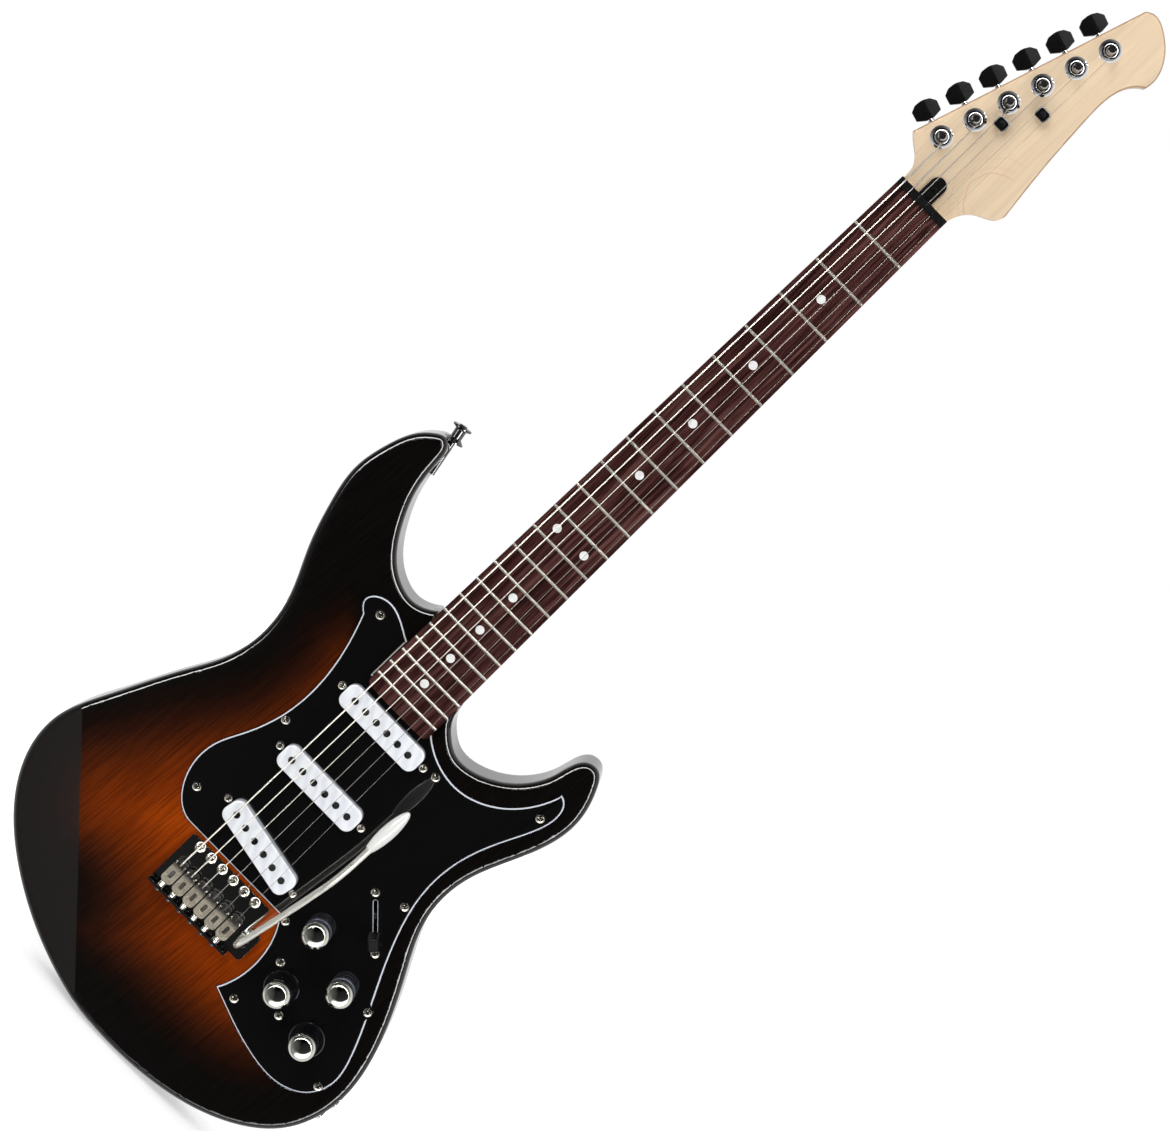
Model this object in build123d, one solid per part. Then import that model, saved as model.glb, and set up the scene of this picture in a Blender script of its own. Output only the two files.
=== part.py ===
from build123d import *

import os
from math import cos, degrees, radians, sin

os.makedirs("parts", exist_ok=True)

# Solid-body electric guitar, in millimetres. It stands upright: +Z runs along the neck to the head,
# +X is the treble side and -Y is the face. The origin is on the centre line, at the end of the
# fingerboard where the strings leave the nut, in the plane of the body's face.
# "Below the saddles" and "above the saddles" are Z distances from the line where the scale ends.

# ---- driving dimensions -------------------------------------------------------------------
scale_length = 648.0
string_count = 6
nut_spacing = 6.9  # between neighbouring strings
bridge_spacing = 10.4
string_radii = (0.58, 0.46, 0.33, 0.22, 0.17, 0.13)  # bass to treble

body_thickness = 44.0
body_edge_radius = 5.0
forearm_slope = 17.4  # degrees between the forearm contour and the face
scoop_radius = 240.0  # the waist contour in the back
nut_width = 41.2
board_end_width = 55.6
board_thickness = 6.0
board_radius = 241.0  # the fingerboard's cross curve
board_top = -9.5  # Y of its crown
board_end_above_saddles = 171.0
board_overhang = 7.0
heel_length = 72.0
pocket_depth = 16.0
shaft_depths = (14.8, 16.3, 16.8)  # neck wood behind the board: at the nut, halfway, at the heel
most_frets = 22
fret_height = 1.1
fret_width = 2.3
dot_radius = 3.0

head_face = 1.6  # Y of the headstock's front
head_thickness = 14.3
tuner_pitch = 24.1
tuner_ear_reach = tuner_pitch / 2 - 2.65  # from a post to its housing's screws
tuner_tilt = 17.4  # degrees between the row of tuners and the neck
first_tuner = (-21.2, 41.4)
post_radius = 3.0
post_height = 14.5  # above the headstock's face

guard_thickness = 2.3
cover_length = 70.0
cover_width = 18.5
pole_radius = 2.4
knob_radius = 9.5
low_knob_height = 20.0
tall_knob_height = 26.0
lever_swing = 38.0  # degrees from one end of the selector to the other

plate_thickness = 2.5
plate_float = 1.9  # gap between the bridge plate and the body
pivot_above_saddles = 11.0
saddle_width = 10.0
saddle_length = 19.0
block_thickness = 15.0
arm_radius = 2.75
back_cover_thickness = 2.0
cavity_wall = 6.0  # wood left behind the controls

running_fit = 0.05  # radial clearance of a shaft in its bore
screw_fit = 0.05  # radial clearance of a screw in its hole
clear = 0.3  # gap between curved parts that pass each other

# ---- values worked out from them ----------------------------------------------------------
saddle_z = -scale_length
pickup_screw_reach = cover_length / 2 + 3.5
board_bottom = board_top + board_thickness
board_end = saddle_z + board_end_above_saddles
heel_end = board_end + board_overhang
heel_front = heel_end + heel_length
head_back = head_face + head_thickness
guard_top = -guard_thickness
plate_bottom = -plate_float
plate_top = plate_bottom - plate_thickness
nut_length = 5.7
nut_shelf_end = nut_length + 0.4
pivot_z = saddle_z + pivot_above_saddles
back_cover_front = body_thickness - back_cover_thickness
open_string_y = board_top - fret_height - 0.5  # string centre over the nut
saddle_string_y = open_string_y - 3.0  # string centre over the saddles


# ---- helpers ------------------------------------------------------------------------------
def front_plane(y):
    """A sketch plane parallel to the face: local x is X, local y is Z, looking out of the face."""
    return Plane(origin=(0, y, 0), x_dir=(1, 0, 0), z_dir=(0, -1, 0))


def slab(sketch, front, back):
    """A sketch in (X, Z) made solid from Y = front to Y = back."""
    return extrude(front_plane(back) * sketch, amount=back - front, dir=(0, -1, 0))


def block(x0, x1, y0, y1, z0, z1):
    return Pos((x0 + x1) / 2, (y0 + y1) / 2, (z0 + z1) / 2) * Box(x1 - x0, y1 - y0, z1 - z0)


def peg(x, z, radius, front, back):
    """A round peg along Y."""
    return slab(Pos(x, z) * Circle(radius), front, back)


def rod(start, end, radius):
    """A round rod between two points."""
    run = Vector(*end) - Vector(*start)
    place = Plane(origin=start, z_dir=run)
    return place * Pos(0, 0, run.length / 2) * Cylinder(radius, run.length)


def outline(*runs):
    """A closed face: each run of points is a spline, and a run of two points is a straight edge."""
    return make_face([Line(*run) if len(run) == 2 else Spline(*run) for run in runs])


def turned(x, y, z, *profile):
    """A turned piece on an axis along Y: (radius, height) points, height measured out of the face."""
    face = make_face(Polyline(*profile, close=True))
    return Pos(x, y, z) * Rot(90, 0, 0) * revolve(Plane.XZ * face, Axis.Z)


def above_saddles(points):
    """Points given as (x, distance above the saddles) in the guitar's own frame."""
    return [(x, saddle_z + z) for x, z in points]


def screw(x, z, y, head_radius, head_height, shank_radius, length):
    """A domed screw driven in from the face, its head seated at Y = y."""
    profile = (
        (0, head_height),
        (head_radius * 0.55, head_height),
        (head_radius, head_height * 0.35),
        (head_radius, 0),
        (shank_radius, 0),
        (shank_radius, -length),
        (0, -length),
    )
    return turned(x, y, z, *profile)


def from_behind(solid):
    """Turn a piece modelled for the face round to the back of the body."""
    return Pos(0, body_thickness, 0) * Rot(0, 0, 180) * solid


def save(node, solids, colour):
    pieces = [s for item in solids for s in item.solids()]
    result = Compound(label=node, children=pieces)
    result.color = Color(*colour)
    export_step(result, f"parts/{node}.step")


def fret_z(number):
    return -scale_length * (1 - 2 ** (-number / 12))


def board_width(z):
    return nut_width + (board_end_width - nut_width) * z / board_end


def string_x(index, spacing):
    return (index - (string_count - 1) / 2) * spacing


def arch(x):
    """How far the strings and the board fall away from the centre line at X."""
    return x * x / (2 * board_radius)


def taper(z_high, z_low):
    """The fingerboard's plan between two places along the neck."""
    high, low = board_width(z_high) / 2, board_width(z_low) / 2
    corners = ((-high, z_high), (high, z_high), (low, z_low), (-low, z_low))
    return make_face(Polyline(*corners, close=True))


def along_z(y, radius, z_low, z_high):
    return Pos(0, y, (z_low + z_high) / 2) * Cylinder(radius, z_high - z_low)


# ---- where the fastened things are --------------------------------------------------------
frets = [n for n in range(1, most_frets + 1) if fret_z(n) > board_end + 5]
guard_screw_points = above_saddles(
    [(-53, 208), (-47, 113), (-56.5, 38), (50, 158.5), (118, 189.5)]
    + [(98, 82), (49.5, 17), (132, 13.5), (63, -45.5), (145, -46.5)]
)
board_screw_points = above_saddles([(67.1, -5.2), (92.1, -31.6)])
pickups = (  # x, distance above the saddles, slant, cover height over the guard, pole spacing
    (1.4, 156.5, 0.0, 5.5, 10.0),
    (1.4, 98.0, 0.0, 6.0, 10.5),
    (1.8, 40.7, 10.6, 7.0, 10.6),
)
volume_place, tone_place, model_place, tuning_place = above_saddles(
    [(69.7, 28.7), (109.3, 12.0), (80.0, -17.0), (117.0, -29.5)]
)
switch_place = Pos(92.2, 0, saddle_z + 60) * Rot(0, 45, 0)  # its X is the slot's direction
switch_half = 20.9  # half the distance between its screws
lever_pivot_y = guard_top + 26
last_saddle_x = string_x(string_count - 1, bridge_spacing)
plate_left, plate_right = -last_saddle_x - 9.4, last_saddle_x + 11
arm_socket = (last_saddle_x + 11.5, saddle_z - 13.5)
ear_right = arm_socket[0] + 9.5
jack_z = saddle_z - 51
middle_y = body_thickness / 2
guard_screw_length = middle_y - 8.5
cover_screw_points = above_saddles([(s * 44, z) for s in (-1, 1) for z in (104, 37, -30)])
neck_bolt_points = [(x, heel_end + z) for x in (-19, 19) for z in (9.5, 47.5)]
claw_screw_x = 10.4
tail_button = (0, middle_y, saddle_z - 131.2)
horn_button = (-102.2, middle_y, saddle_z + 320.6)
horn_direction = (-0.20, 0, 0.98)


def tuner_place(number):
    x = first_tuner[0] + tuner_pitch * number * sin(radians(tuner_tilt))
    z = first_tuner[1] + tuner_pitch * number * cos(radians(tuner_tilt))
    return Pos(x, 0, z) * Rot(0, tuner_tilt, 0)


def pickup_place(index):
    x, z, slant = pickups[index][:3]
    return Pos(x, 0, saddle_z + z) * Rot(0, slant, 0)


# ---- body ---------------------------------------------------------------------------------
def body_outline():
    """One smooth line from the bass side of the neck, round the body, to its treble side."""
    bass_cutaway = [(-28.5, 236.5), (-35, 232), (-45, 229), (-55, 230.5), (-67.5, 237), (-79, 249)]
    bass_horn = [(-87.5, 263), (-94, 278), (-98, 296), (-99, 308), (-101.5, 317.5), (-107, 321)]
    bass_horn += [(-114, 318), (-122, 310), (-131, 289), (-135, 263), (-130, 236), (-119, 204)]
    bass_waist = [(-105, 173), (-99.7, 138), (-105, 113), (-119, 85), (-142, 38), (-156.5, 1)]
    tail = [(-155.5, -28), (-139, -62), (-102, -95), (-49, -120), (-2, -130), (54, -130)]
    tail += [(114, -114), (151, -84), (163, -43), (156, -4)]
    treble_waist = [(132.5, 47), (114, 88), (114, 122), (128, 160), (138, 200.5)]
    treble_horn = [(130.5, 229.5), (122, 239), (114, 238), (107.5, 229), (104, 215.5), (97.5, 202)]
    treble_cutaway = [(87.5, 190.5), (75, 182), (62.5, 177.3), (50, 177), (39, 183), (31, 192)]
    edge = bass_cutaway + bass_horn + bass_waist + tail + treble_waist + treble_horn
    edge += treble_cutaway + [(28.8, 199)]
    return outline(above_saddles(edge), above_saddles([edge[-1], edge[0]]))


def control_cavity_outline():
    corners = [(56, 0), (60, -34), (72, -44), (118, -55), (134, -51), (139, -38), (120, 26)]
    corners += [(104, 62), (88, 80), (76, 84), (62, 68), (55.5, 46)]
    face = make_face(Polyline(*above_saddles(corners), close=True))
    return fillet(face.vertices(), 5)


def make_body():
    wood = slab(body_outline(), 0, body_thickness)
    # contours: a flat cut for the forearm across the bass corner of the face, and a long scoop
    # in the back at the waist
    slope = radians(forearm_slope)
    outward = Vector(-0.727, 0, -0.686) * sin(slope) - Vector(0, cos(slope), 0)
    forearm = Plane(origin=(-145, 0, saddle_z + 16), x_dir=(0.68, 0, -0.73), z_dir=outward)
    wood -= forearm * Pos(0, 0, 50) * Box(420, 300, 100)
    waist = Vector(-61, body_thickness, saddle_z + 138)
    scoop = Plane(origin=waist + Vector(-0.33, 0.944, 0) * scoop_radius, z_dir=(-0.944, -0.33, 0))
    wood -= scoop * Cylinder(scoop_radius, 300)
    sides = [f for f in wood.faces() if f.bounding_box().size.Y > body_thickness - 0.1]
    rims = [e for f in sides for e in f.edges() if e.bounding_box().size.Y < body_thickness - 1]
    wood = fillet(rims, body_edge_radius)
    heel_lip = [(28.2, 196), (26.2, 233), (-26.2, 236), (-27, 196)]
    lip = slab(make_face(Polyline(*above_saddles(heel_lip), close=True)), pocket_depth, body_thickness)
    wood += fillet(lip.edges().sort_by(Axis.Y)[-4:].sort_by(Axis.Z)[-1], 9)

    # neck pocket, pickup slots and their wiring channel, and the control cavity
    wood -= slab(taper(heel_front + 20, heel_end), board_top, pocket_depth)
    for index in range(len(pickups)):
        slot = RectangleRounded(2 * pickup_screw_reach + 9, cover_width + 4, 6)
        wood -= pickup_place(index) * slab(slot, -1, 18)
    top, low = saddle_z + pickups[0][1], saddle_z + pickups[2][1]
    wood -= block(24, 36, -1, 14, low, top)
    wood -= block(30, 66, -1, 14, low - 6, low + 6)
    wood -= slab(control_cavity_outline(), -1, body_thickness - cavity_wall)

    # tremolo: slot through the body, spring cavity and the recess for its cover
    wood -= block(plate_left + 1.9, plate_right - 2, -1, body_thickness - 16, saddle_z - 23.5, saddle_z + 5.5)
    wood -= block(30, ear_right - 1.5, -1, body_thickness - 16, saddle_z - 23.5, saddle_z - 4.5)
    cavity = Pos(2, saddle_z + 37) * RectangleRounded(82, 128, 7)
    wood -= slab(cavity, body_thickness - 17, body_thickness + 1)
    recess = Pos(0, saddle_z + 37) * RectangleRounded(100.4, 146.4, 6.2)
    wood -= slab(recess, back_cover_front, body_thickness + 1)

    # output jack: a flat on the treble edge, and a bore into the control cavity
    wood -= block(160.4, 180, middle_y - 13.2, middle_y + 13.2, jack_z - 17.2, jack_z + 17.2)
    wood -= rod((125, middle_y, jack_z), (165, middle_y, jack_z), 9.5)

    # screw holes
    for x, z in guard_screw_points:
        wood -= peg(x, z, 1.3 + screw_fit, -1, guard_top + guard_screw_length + 0.8)
    for x, z in pivot_points:
        wood -= peg(x, z, 1.6 + screw_fit, -1, 24.5)
    for x, z in neck_bolt_points:
        wood -= peg(x, z, 2.3, pocket_depth - 1, body_thickness + 1)
    for x, z in cover_screw_points:
        wood -= peg(x, z, 1.3 + screw_fit, body_thickness - 14.5, body_thickness)
    for side in (-1, 1):
        x, y = side * claw_screw_x, body_thickness - 9
        wood -= rod((x, y, saddle_z + 118), (x, y, saddle_z + 95), 1.9 + screw_fit)
    for place, direction in ((tail_button, (0, 0, -1)), (horn_button, horn_direction)):
        spot = Plane(origin=place, z_dir=direction)
        wood -= spot * Pos(0, 0, -14) * Cylinder(1.9 + screw_fit, 32)
        wood -= spot * Pos(0, 0, 10) * Cylinder(7.4, 20)
    save("body", [wood], (0.45, 0.12, 0.03))


# ---- neck ---------------------------------------------------------------------------------
def shaft_section(z, depth):
    half = board_width(z) / 2
    arc = EllipticalCenterArc((0, board_bottom), half, depth, start_angle=0, arc_size=180)
    return Plane.XY.offset(z) * make_face([arc, Line((-half, board_bottom), (half, board_bottom))])


def head_outline():
    bass_corner = [(-20.6, 0), (-19.6, 6.5), (-20, 13.5), (-23, 19.6), (-27.7, 23.8), (-36.8, 31.5)]
    tuner_edge = [(-36.8, 31.5), (12.3, 189.6)]
    nose = [(12.3, 189.6), (18.5, 192.7), (30.8, 188.5), (42.3, 178.5), (48.3, 166.5), (48, 156)]
    treble_edge = [(48, 156), (40, 148), (35.8, 132.7), (36.2, 112.7), (39.2, 77.3), (44.6, 35.8)]
    treble_corner = [(44.6, 35.8), (41.5, 28.8), (30, 22), (22.3, 11.9), (20.6, 0)]
    return outline(bass_corner, tuner_edge, nose, treble_edge, treble_corner, [(20.6, 0), (-20.6, 0)])


def make_neck():
    middle = heel_front / 2 - 20
    sections = [shaft_section(22, shaft_depths[0] - 0.8), shaft_section(0, shaft_depths[0])]
    sections += [shaft_section(middle, shaft_depths[1]), shaft_section(heel_front - 12, shaft_depths[2])]
    wood = loft(sections, ruled=True)

    heel = slab(taper(heel_front, heel_end), board_bottom, pocket_depth)
    front_edge = heel.edges().filter_by(Axis.X).sort_by(Axis.Z)[-2:].sort_by(Axis.Y)[-1]
    wood += fillet(front_edge, 14)

    head = slab(head_outline(), board_bottom, head_back)
    side_profile = Polyline(
        (board_bottom, 0), (board_bottom, nut_shelf_end), (head_face, nut_shelf_end),
        (head_face, 200), (head_back, 200), (head_back, 32), (head_back - 2.5, 20), (3, 0),
        close=True,
    )
    head &= extrude(Plane.YZ * make_face(side_profile), amount=60, both=True)
    rims = [e for e in head.edges() if e.length > 18 and e.center().Z > 40]
    rims = [e for e in rims if min(abs(e.center().Y - head_face), abs(e.center().Y - head_back)) < 0.1]
    wood += fillet(rims, 1.8)
    wood -= block(-21, 21, board_bottom - 1, head_face, nut_shelf_end, 30)

    # truss rod channel under the board, and the pocket for the rod's nut behind the string nut
    wood -= block(-2.7, 2.7, board_bottom - 1, 7.3, heel_end + 20, nut_shelf_end + 0.1)
    wood -= block(-4, 4, head_face - 3, 8.8, nut_shelf_end - 0.5, nut_shelf_end + 6)

    for number in range(string_count):
        wood -= tuner_place(number) * peg(0, 0, 4.9 + running_fit, head_face - 1, head_back + 1)
        for z in (-tuner_ear_reach, tuner_ear_reach):
            wood -= tuner_place(number) * peg(4.2, z, 1.1 + screw_fit, head_back - 8, head_back + 1)
    for x, z in neck_bolt_points:
        wood -= peg(x, z, 2.1 + screw_fit, 2, pocket_depth + 1)
    for x, z in head_screw_points:
        wood -= peg(x, z, 1.1 + screw_fit, head_face - 1, head_face + 9)
    save("neck", [wood], (0.85, 0.68, 0.45))


def make_fingerboard():
    crown = along_z(board_top + board_radius, board_radius, board_end - 1, 1)
    plan = taper(0, board_end)
    end_corners = plan.vertices().sort_by(Axis.Y)[:2]
    board = slab(fillet(end_corners, 5), board_top, board_bottom) & crown
    centre = Axis((0, board_top + board_radius, 0), (0, 0, 1))
    wires = []
    slot_floor = board_top + 1.5 + arch(board_end_width / 2)
    for number in frets:
        z, width = fret_z(number), board_width(fret_z(number)) - 0.5
        board -= block(-40, 40, board_top - 1, slot_floor, z - 0.3, z + 0.3)
        crown_top, tang_foot = board_top - fret_height, board_top + 1.2
        section = Polyline(
            (0, tang_foot, z - 0.25), (0, board_top, z - 0.25), (0, board_top, z - fret_width / 2),
            (0, crown_top, z - 0.5), (0, crown_top, z + 0.5), (0, board_top, z + fret_width / 2),
            (0, board_top, z + 0.25), (0, tang_foot, z + 0.25), close=True,
        )
        sweep_angle = degrees(width / board_radius)
        start = make_face(section).rotate(centre, -sweep_angle / 2)
        wires.append(revolve(start, centre, sweep_angle))

    dots = []
    for number in (3, 5, 7, 9, 12, 15, 17, 19, 21):
        if number > len(frets):
            continue
        z = (fret_z(number) + fret_z(number - 1)) / 2
        for x in (-12.6, 12.6) if number == 12 else (0,):
            board -= peg(x, z, dot_radius, board_top - 1, board_top + 1.8)
            dots.append(peg(x, z, dot_radius, board_top - 1, board_top + 1.8) & crown)
    save("fingerboard", [board], (0.16, 0.07, 0.05))
    save("frets", wires, (0.75, 0.75, 0.72))
    save("position_dots", dots, (0.9, 0.9, 0.88))


def make_nut():
    top = board_top - fret_height - 1.3
    crown = along_z(top + board_radius, board_radius, -1, nut_length + 1)
    nut = block(-nut_width / 2, nut_width / 2, top - 1, board_bottom, 0, nut_length) & crown
    for index, radius in enumerate(string_radii):
        x = string_x(index, nut_spacing)
        floor = open_string_y + arch(x) + radius
        nut -= block(x - radius - 0.04, x + radius + 0.04, top - 2, floor, -1, nut_length + 1)
    save("nut", [nut], (0.04, 0.04, 0.04))


def make_truss_rod():
    bar = along_z(4.6, 2.5, heel_end + 22, nut_length + 0.6)
    hex_nut = Pos(0, 4.6, nut_length + 0.6) * extrude(RegularPolygon(2.9, 6), 5)
    save("truss_rod", [bar + hex_nut], (0.5, 0.5, 0.5))
    width = 11.6
    plan = Pos(0, 14.5) * SlotOverall(18.2, width, rotation=90)
    plan += Pos(0, 9.5) * Rectangle(width, 6)
    plan -= Pos(0, nut_shelf_end - 4.9) * Rectangle(width + 2, 10)
    cover = slab(plan, head_face - 2, head_face)
    cover = fillet(cover.faces().sort_by(Axis.Y)[0].edges(), 0.6)
    cover -= peg(0, 14.6, 1.1 + screw_fit, head_face - 3, head_face + 1)
    save("truss_rod_cover", [cover], (0.03, 0.03, 0.03))


def head_string_x(index, z):
    """Where a string runs over the headstock, from the nut to the side of its post."""
    x_high, spot = string_x(index, nut_spacing), tuner_place(index).position
    end_x = spot.X + winding_radius + string_radii[index]
    return x_high + (end_x - x_high) * (z - nut_length) / (spot.Z - nut_length)


winding_radius = post_radius - 0.7 + clear
tree_places = [  # x, z and the strings each one holds
    ((head_string_x(held[0], z) + head_string_x(held[1], z)) / 2, z, held)
    for z, held in ((74.3, (2, 3)), (97.0, (4, 5)))
]
wing_under = head_face - 6.4
head_screw_points = [(x, z) for x, z, _ in tree_places] + [(0, 14.6)]


def make_string_trees():
    trees = []
    for x, z, _ in tree_places:
        lens = Pos(x, z) * fillet(Polygon((-5.9, 0), (0, 4.2), (5.9, 0), (0, -4.2)).vertices(), 1.4)
        tree = slab(lens, wing_under - 1.8, wing_under) + peg(x, z, 2.2, wing_under, head_face)
        tree = fillet(tree.faces().sort_by(Axis.Y)[0].edges(), 0.7)
        trees.append(tree - peg(x, z, 1.1 + screw_fit, wing_under - 3, head_face + 1))
    save("string_trees", trees, (0.03, 0.03, 0.03))


def make_tuners():
    housings, bushings, screws = [], [], []
    for x, z, _ in tree_places:
        screws.append(screw(x, z, wing_under - 1.8, 2.0, 0.9, 1.1, 13))
    screws.append(screw(0, 14.6, head_face - 2, 2.0, 0.9, 1.1, 9))
    for number in range(string_count):
        place = tuner_place(number)
        waist = (
            (0, post_height), (2.2, post_height), (post_radius, post_height - 0.8),
            (post_radius, post_height - 5), (post_radius - 0.7, post_height - 6),
            (post_radius - 0.7, post_height - 9.5), (post_radius, post_height - 10.5),
            (post_radius, -head_thickness - 6), (0, -head_thickness - 6),
        )
        post = turned(0, head_face, 0, *waist)
        post -= block(-0.6, 0.6, head_face - post_height - 1, head_face - post_height + 5, -5, 5)
        save(f"tuner_post_{number + 1}", [place * post], (0.8, 0.8, 0.82))

        bore = post_radius + running_fit
        ring = ((bore, 2.9), (4.6, 2.9), (5.3, 2.2), (5.3, 1.5), (6.9, 1.3), (7.5, 0.6), (7.5, 0))
        sleeve = ((4.9, 0), (4.9, -9), (bore, -9))
        bushings.append(place * turned(0, head_face, 0, *ring, *sleeve))

        shaft_y = head_back + 4.6
        case = RectangleRounded(17, 2 * tuner_ear_reach - 4.2, 3)
        housing = Pos(-1, 0, 0) * slab(case, head_back, head_back + 9.4)
        housing = fillet(housing.faces().sort_by(Axis.Y)[-1].edges(), 1.6)
        ears = Pos(4.2, 0) * SlotOverall(2 * tuner_ear_reach + 4.6, 4.6, rotation=90)
        housing += slab(ears, head_back, head_back + 2)
        for z in (-tuner_ear_reach, tuner_ear_reach):
            housing -= peg(4.2, z, 1.1 + screw_fit, head_back - 1, head_back + 3)
            driven = from_behind(screw(-4.2, z, 0, 2.0, 0.9, 1.1, 8))
            screws.append(place * Pos(0, head_back + 2 - body_thickness, 0) * driven)
        housing -= peg(0, 0, bore, head_back - 1, head_face + head_thickness + 6.3)
        housing -= rod((-11, shaft_y, 0), (-4.2, shaft_y, 0), 2.5 + running_fit)
        housings.append(place * housing)

        grip = Polyline((-13.8, -7.4), (-13.8, 7.4), (-21.5, 9.3), (-25.4, 7.2))
        crown = ThreePointArc((-25.4, 7.2), (-27.4, 0), (-25.4, -7.2))
        closing = Polyline((-25.4, -7.2), (-21.5, -9.3), (-13.8, -7.4))
        face = make_face([*grip.edges(), crown, *closing.edges()])
        button = slab(face, shaft_y - 3.9, shaft_y + 3.9)
        button = fillet(button.edges().filter_by(Axis.Y), 1.2)
        button = chamfer(button.faces().sort_by(Axis.Y)[0].edges(), 1.1)
        button = chamfer(button.faces().sort_by(Axis.Y)[-1].edges(), 1.1)
        button += rod((-4.4, shaft_y, 0), (-14.5, shaft_y, 0), 2.5)
        save(f"tuner_button_{number + 1}", [place * button], (0.05, 0.05, 0.05))
    save("tuner_housings", housings, (0.8, 0.8, 0.82))
    save("tuner_bushings", bushings, (0.8, 0.8, 0.82))
    save("headstock_screws", screws, (0.6, 0.6, 0.6))


def make_neck_joint():
    plan = Pos(0, heel_end + 28.5) * RectangleRounded(50, 50, 5)
    plate = slab(plan, body_thickness, body_thickness + 1.8)
    bolts = []
    for x, z in neck_bolt_points:
        plate -= peg(x, z, 2.1 + screw_fit, body_thickness - 1, body_thickness + 3)
        bolts.append(from_behind(Pos(0, -1.8, 0) * screw(-x, z, 0, 4.4, 2.4, 2.1, body_thickness - 2)))
    save("neck_plate", [plate], (0.8, 0.8, 0.82))
    save("neck_bolts", bolts, (0.8, 0.8, 0.82))


# ---- pickguard and what hangs from it -----------------------------------------------------
def guard_outline():
    horn_bass = [(-28, 208.5), (-40, 215), (-50, 218.5), (-60, 217.5), (-67, 212), (-62, 200)]
    waist_bass = [(-62, 200), (-54, 176), (-49, 146), (-51, 115), (-61, 86), (-69, 68), (-70.3, 48)]
    waist_bass += [(-64, 31), (-54, 20.5), (-42, 17)]
    bridge_side = [(43, 17), (49, 8), (54, -6), (55.5, -22), (53, -38), (48.5, -49)]
    tail = [(48.5, -49), (75, -58.5), (100, -65), (125, -65.5), (143, -56), (151, -38), (147, -17)]
    treble = [(126, 28), (110, 63), (101, 96), (101, 122), (111, 156), (124, 186), (126, 198)]
    treble += [(123.5, 207), (117, 211)]
    cutaway = [(117, 211), (112, 198), (101, 182), (85, 169.5), (66, 163.6), (50, 165), (27.9, 176.5)]
    heel = [(27.9, 176.5), (-27.9, 176.5), (-27.9, 208.5)]
    runs = [horn_bass, waist_bass, [(-42, 17), (43, 17)], bridge_side, tail + treble, cutaway]
    runs += [heel[:2], heel[1:], [(-27.9, 208.5), (-28, 208.5)]]
    return outline(*[above_saddles(run) for run in runs])


def make_guard():
    guard = slab(guard_outline(), guard_top, 0)
    for x, z in guard_screw_points + board_screw_points:
        guard -= peg(x, z, 1.3 + screw_fit, guard_top - 1, 1)
    for index in range(len(pickups)):
        hole = RectangleRounded(cover_length + 2 * clear, cover_width + 2 * clear, 6.5)
        guard -= pickup_place(index) * slab(hole, guard_top - 1, 1)
        for side in (-1, 1):
            reach = side * pickup_screw_reach
            guard -= pickup_place(index) * peg(reach, 0, 1.5 + screw_fit, guard_top - 1, 1)
    for x, z in (volume_place, tone_place, model_place, tuning_place):
        guard -= peg(x, z, 3.9 + screw_fit, guard_top - 1, 1)
    guard -= switch_place * slab(SlotOverall(31, 2.8), guard_top - 1, 1)
    for side in (-1, 1):
        guard -= switch_place * peg(side * switch_half, 0, 1.5 + screw_fit, guard_top - 1, 1)
    save("pickguard", [guard], (0.03, 0.03, 0.035))

    face_screws = [screw(x, z, guard_top, 3.3, 1.5, 1.3, guard_screw_length) for x, z in guard_screw_points]
    face_screws += [screw(x, z, guard_top, 3.0, 1.4, 1.3, 14) for x, z in board_screw_points]
    for side in (-1, 1):
        face_screws.append(switch_place * screw(side * switch_half, 0, guard_top, 3.2, 1.6, 1.5, 8))
    save("face_screws", face_screws, (0.8, 0.8, 0.8))


def make_pickups():
    covers, coils, poles, screws, tubes = [], [], [], [], []
    base_front, base_back = 6.2, 8.4
    for index, (_, _, _, raised, spacing) in enumerate(pickups):
        place = pickup_place(index)
        top = guard_top - raised
        cover = slab(RectangleRounded(cover_length, cover_width, 6.2), top, base_front)
        cover = fillet(cover.faces().sort_by(Axis.Y)[0].edges(), 1.2)
        cover -= slab(RectangleRounded(cover_length - 2.4, cover_width - 2.4, 5), top + 1.2, base_front)
        base = slab(RectangleRounded(2 * pickup_screw_reach + 8, cover_width, 4), base_front, base_back)
        coil = slab(RectangleRounded(cover_length - 7, 13.4, 6), top + 1.2, base_front) + base
        for pole in range(string_count):
            x = string_x(pole, spacing)
            cover -= peg(x, 0, pole_radius + 0.1, top - 1, top + 2)
            coil -= peg(x, 0, pole_radius + 0.05, top, base_back + 1)
            poles.append(place * peg(x, 0, pole_radius, top - 0.3, base_back + 1.5))
        for side in (-1, 1):
            x = side * pickup_screw_reach
            coil -= peg(x, 0, 1.5 + screw_fit, base_front - 1, base_back + 1)
            screws.append(place * screw(x, 0, guard_top, 2.8, 1.5, 1.5, 16))
            tube = peg(x, 0, 2.9, 0, base_front) - peg(x, 0, 1.7, -1, base_front + 1)
            tubes.append(place * tube)
        covers.append(place * cover)
        coils.append(place * coil)
    save("pickup_covers", covers, (0.92, 0.92, 0.88))
    save("pickup_coils", coils, (0.05, 0.05, 0.05))
    save("pole_pieces", poles, (0.45, 0.45, 0.45))
    save("pickup_screws", screws, (0.8, 0.8, 0.8))
    save("pickup_tubes", tubes, (0.1, 0.1, 0.1))


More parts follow.
